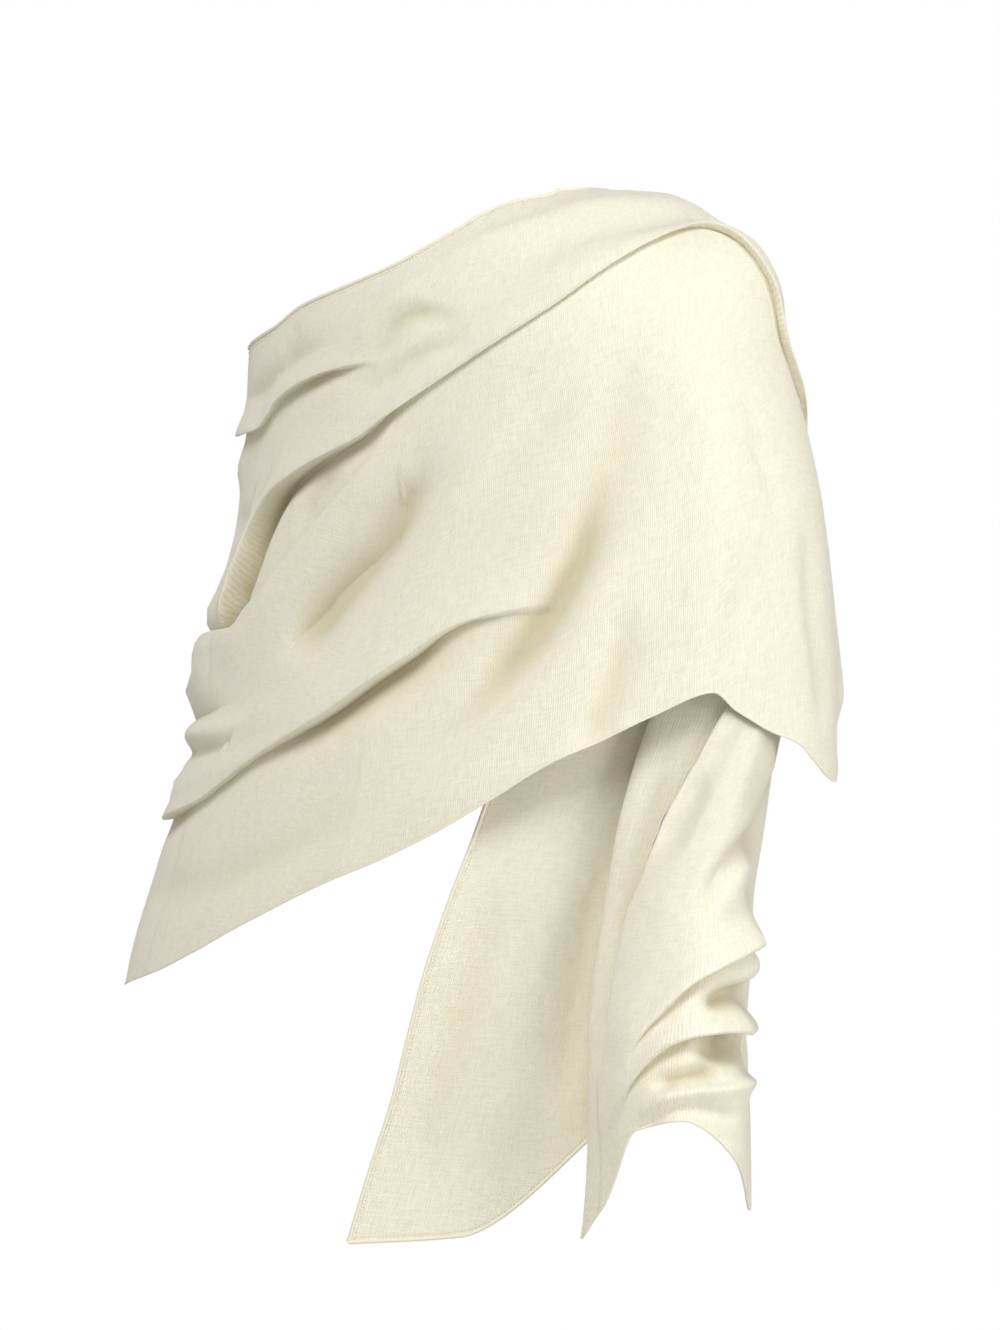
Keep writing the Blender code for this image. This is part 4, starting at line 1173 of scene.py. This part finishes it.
class ShawlClothSettings(bpy.types.PropertyGroup):
    """Sizes and colours of the cloth"""
    thickness: length("Thickness", "Thickness of the cloth", 0.0010)
    yarn_pitch: length("Yarn Pitch", "Distance between neighbouring yarns", 0.0012)
    yarn_relief: length("Yarn Relief", "Depth of the weave's relief", 0.0009)
    slub_strength: number("Slub Strength", "Strength of the thicker places in the yarns", 0.6)
    sheen: number("Sheen", "Weight of the soft sheen of the nap", 0.3, subtype="FACTOR")
    glow: number("Glow", "Share of the light that passes into the thin cloth", 0.2, subtype="FACTOR")
    light_colour: tint("Light Colour", "Ivory of the yarns", (0.905, 0.868, 0.735))
    # Partly a cloudy tone at random, partly painted shade between the yarns
    deep_colour: tint("Deep Colour", "Deeper ivory between the yarns", (0.80, 0.738, 0.56))
    # Painted shade for the deep hollows of the folds, darker and warmer than the cloth
    warm_colour: tint("Warm Colour", "Warm tone of the cloth in deep hollows", (0.68, 0.61, 0.43))


class ShawlHemSettings(bpy.types.PropertyGroup):
    """Sizes and colours of the rolled hems and their stitches"""
    roll_radius: length("Roll Radius", "Radius of the rolled hem", 0.0012)
    edge_radius: length("Edge Radius", "Radius of the plain lower edge", 0.0007)
    stitch_inset: length("Stitch Inset", "Distance from the hem's edge to its row of stitches", 0.0030)
    stitch_spacing: length("Stitch Spacing", "Distance from stitch to stitch", 0.0022)
    stitch_length: length("Stitch Length", "Length of one stitch", 0.0017)
    yarn_width: length("Yarn Width", "Width of the sewing yarn", 0.0007)
    stitch_slant: number("Stitch Slant", "How far the stitches lean from the hem", 0.35, subtype="ANGLE")
    yarn_colour: tint("Yarn Colour", "Colour of the sewing yarn", (0.84, 0.77, 0.58))
    roll_colour: tint("Roll Colour", "Colour of the rolled hem", (0.90, 0.84, 0.68))


class ShawlStageSettings(bpy.types.PropertyGroup):
    """Floor, light and camera"""
    floor_drop: length("Floor Drop", "Distance from the shawl's lowest point to the floor", 0.55)
    key_power: number("Key Power", "Power of the main light", 60.0)
    fill_power: number("Fill Power", "Power of the side light", 36.0)
    sky: number("Sky", "Strength of the white surroundings", 0.42)
    distance: length("Distance", "Distance from the camera to the shawl", 8.0)


# Grids and pieces that later operators use, by name
BUILT = {}


class SHAWL_OT_wound_cloth(bpy.types.Operator):
    """Makes the cloth across the chest, round the right arm, over the back and the thrown end"""
    bl_idname = "shawl.wound_cloth"
    bl_label = "Wound Cloth"

    def execute(self, context):
        settings = context.scene.shawl_cloth
        material = cashmere_material("Ivory Cashmere", weave_group(), settings)
        BUILT["cloth"] = material
        for stretch in STRETCHES:
            grid = wound_grid(stretch.start, stretch.end, stretch.columns)
            BUILT[stretch.name + "_grid"] = grid[1:-1]
            BUILT[stretch.name] = woven_piece(stretch.name, grid, True, settings.thickness, material)
            dress(BUILT[stretch.name], (stretch.node,))
        return {"FINISHED"}


class SHAWL_OT_sleeve_and_tail(bpy.types.Operator):
    """Makes the wrap over the left forearm and the tail that hangs in front"""
    bl_idname = "shawl.sleeve_and_tail"
    bl_label = "Sleeve and Tail"

    def execute(self, context):
        settings = context.scene.shawl_cloth
        sleeve_grid = line_grid(SLEEVE_REACH, SLEEVE_COLUMNS, SLEEVE_ROWS, SLEEVE_LIP_PATHS,
                                SLEEVE_SOFT_PATHS)
        tail_grid = line_grid(TAIL_REACH, TAIL_COLUMNS, TAIL_ROWS, [], TAIL_SOFT_PATHS)
        for name, grid, node in (
                ("sleeve_cloth", sleeve_grid, "left_arm_wrap"),
                ("tail_cloth", tail_grid, "front_tail")):
            BUILT[name + "_grid"] = grid
            BUILT[name] = woven_piece(name, grid, False, settings.thickness, BUILT["cloth"])
            dress(BUILT[name], (node,))
        return {"FINISHED"}


class SHAWL_OT_hems(bpy.types.Operator):
    """Makes the rolled hems, their stitches and the plain lower edge"""
    bl_idname = "shawl.hems"
    bl_label = "Hems"

    def execute(self, context):
        settings = context.scene.shawl_hem
        yarn = yarn_material("Sewing Yarn", settings.yarn_colour)
        roll = yarn_material("Rolled Hem", settings.roll_colour)
        tree, sockets = stitch_tree(yarn)
        inset = settings.stitch_inset / STEP_MM
        tops = [BUILT[name + "_grid"] for name in TOP_ORDER]
        tail = BUILT["tail_cloth_grid"][::-1]
        # Each edge is the first row of these grids, and its stitches lie a little way down them
        edges = (
            ("upper_hem", tops, True),
            ("tail_hem", [tail.transpose(1, 0, 2)], True),
            ("thrown_end_hem", [tops[0][:, ::-1]], True),
            ("tail_end_hem", [tail[:, ::-1]], True),
            ("lower_edge", [grid[:, ::-1] for grid in tops[1:]], False),
            ("cuff_edge", [BUILT["sleeve_cloth_grid"][:, ::-1]], False),
        )
        for seed, (name, grids, sewn) in enumerate(edges, start=1):
            edge = np.concatenate([grid[:, 0] for grid in grids])
            radius = settings.roll_radius if sewn else settings.edge_radius
            mesh = tube_mesh(name, even_path(to_world(edge), PATH_STEP), radius, HEM_SIDES)
            mesh.materials.append(roll)
            BUILT[name] = add_object(name, mesh)
            dress(BUILT[name])
            if sewn:
                line = np.concatenate([line_below_edge(grid, inset) for grid in grids])
                sewing = name + "_stitches"
                BUILT[sewing] = stitched_piece(sewing, even_path(to_world(line), PATH_STEP), tree, sockets,
                                               settings, seed)
                dress(BUILT[sewing])
        return {"FINISHED"}


class SHAWL_OT_declare(bpy.types.Operator):
    """Empty step that does nothing."""
    bl_idname = "shawl.declare"
    bl_label = "Declare Cloth"

    def execute(self, context):
        return {"FINISHED"}


class SHAWL_OT_stage(bpy.types.Operator):
    """Makes the white floor, the soft lights and the camera"""
    bl_idname = "shawl.stage"
    bl_label = "Stage"

    def execute(self, context):
        scene = context.scene
        settings = scene.shawl_stage
        scene.view_settings.view_transform = "Standard"
        self.add_surroundings(scene, settings.sky)
        middle = view_point(*PICTURE_MIDDLE)
        self.add_floor(CAD_BOX[0][2] - settings.floor_drop)
        self.add_lights(middle, settings)
        toward = Vector((math.sin(VIEW_TURN), -math.cos(VIEW_TURN), 0.0))
        lens = bpy.data.cameras.new("Camera")
        lens.sensor_width = 36.0
        lens.lens = lens.sensor_width * settings.distance / PICTURE_HEIGHT
        lens.clip_end = 100.0
        camera = add_object("Camera", lens)
        camera.location = middle + toward * settings.distance
        camera.rotation_euler = (-toward).to_track_quat("-Z", "Y").to_euler()
        scene.camera = camera
        return {"FINISHED"}

    def add_surroundings(self, scene, sky):
        """The surroundings look white to the camera and light the cloth with less."""
        world = bpy.data.worlds.new("White Surroundings")
        scene.world = world
        world.use_nodes = True
        tree = world.node_tree
        seen = add_node(tree, "ShaderNodeLightPath").outputs["Is Camera Ray"]
        strength = add_node(tree, "ShaderNodeMapRange", {"Value": seen, "To Min": sky, "To Max": 1.0})
        set_inputs(tree, tree.nodes["Background"], {
            "Color": (1.0, 1.0, 1.0, 1.0), "Strength": strength.outputs[0]})

    def add_floor(self, height):
        """Pale floor that looks white to the camera."""
        corners = ((-1, -1), (1, -1), (1, 1), (-1, 1))
        mesh = bpy.data.meshes.new("floor")
        mesh.from_pydata([(x * FLOOR_REACH, y * FLOOR_REACH, height) for x, y in corners], [], [(0, 1, 2, 3)])
        material, tree, shader = new_material("White Floor")
        set_inputs(tree, shader, {
            "Base Color": (0.8, 0.8, 0.8, 1.0), "Roughness": 1.0, "Specular IOR Level": 0.0})
        mix = add_node(tree, "ShaderNodeMixShader", {
            "Fac": add_node(tree, "ShaderNodeLightPath").outputs["Is Camera Ray"],
            1: shader.outputs[0],
            2: add_node(tree, "ShaderNodeEmission").outputs[0],
        })
        set_inputs(tree, tree.nodes["Material Output"], {"Surface": mix.outputs[0]})
        mesh.materials.append(material)
        add_object("floor", mesh)

    def add_lights(self, middle, settings):
        """Round soft lights, each so many degrees to the side of the camera and up."""
        for name, side, up, power, size in (
                ("Key Light", -12.0, 44.0, settings.key_power, 1.8),
                ("Fill Light", 60.0, 4.0, settings.fill_power, 1.6)):
            turn = VIEW_TURN + math.radians(side)
            lift = math.radians(up)
            way = Vector((math.sin(turn) * math.cos(lift), -math.cos(turn) * math.cos(lift), math.sin(lift)))
            lamp = bpy.data.lights.new(name, "AREA")
            lamp.shape = "DISK"
            lamp.size = size
            lamp.energy = power
            light = add_object(name, lamp)
            light.location = middle + way * LIGHT_DISTANCE
            light.rotation_euler = (-way).to_track_quat("-Z", "Y").to_euler()


class SHAWL_PT_panel(bpy.types.Panel):
    """Lists the steps that make the shawl"""
    bl_idname = "SHAWL_PT_panel"
    bl_label = "Cashmere Shawl"
    bl_space_type = "VIEW_3D"
    bl_region_type = "UI"
    bl_category = "Shawl"

    def draw(self, context):
        column = self.layout.column()
        for operator in OPERATORS:
            column.operator(operator.bl_idname)
        for name, _ in SETTINGS:
            group = getattr(context.scene, name)
            for key in group.bl_rna.properties.keys():
                if key not in ("rna_type", "name"):
                    column.prop(group, key)


SETTINGS = (
    ("shawl_cloth", ShawlClothSettings),
    ("shawl_hem", ShawlHemSettings),
    ("shawl_stage", ShawlStageSettings),
)
OPERATORS = (SHAWL_OT_stage, SHAWL_OT_wound_cloth, SHAWL_OT_sleeve_and_tail, SHAWL_OT_hems, SHAWL_OT_declare)


def register():
    for name, group in SETTINGS:
        bpy.utils.register_class(group)
        setattr(bpy.types.Scene, name, bpy.props.PointerProperty(type=group))
    for operator in OPERATORS:
        bpy.utils.register_class(operator)
    bpy.utils.register_class(SHAWL_PT_panel)


def unregister():
    bpy.utils.unregister_class(SHAWL_PT_panel)
    for operator in reversed(OPERATORS):
        bpy.utils.unregister_class(operator)
    for name, group in reversed(SETTINGS):
        delattr(bpy.types.Scene, name)
        bpy.utils.unregister_class(group)


def main():
    register()
    bpy.ops.shawl.stage()
    bpy.ops.shawl.wound_cloth()
    bpy.ops.shawl.sleeve_and_tail()
    bpy.ops.shawl.hems()
    bpy.ops.shawl.declare()


if __name__ == "__main__":
    main()
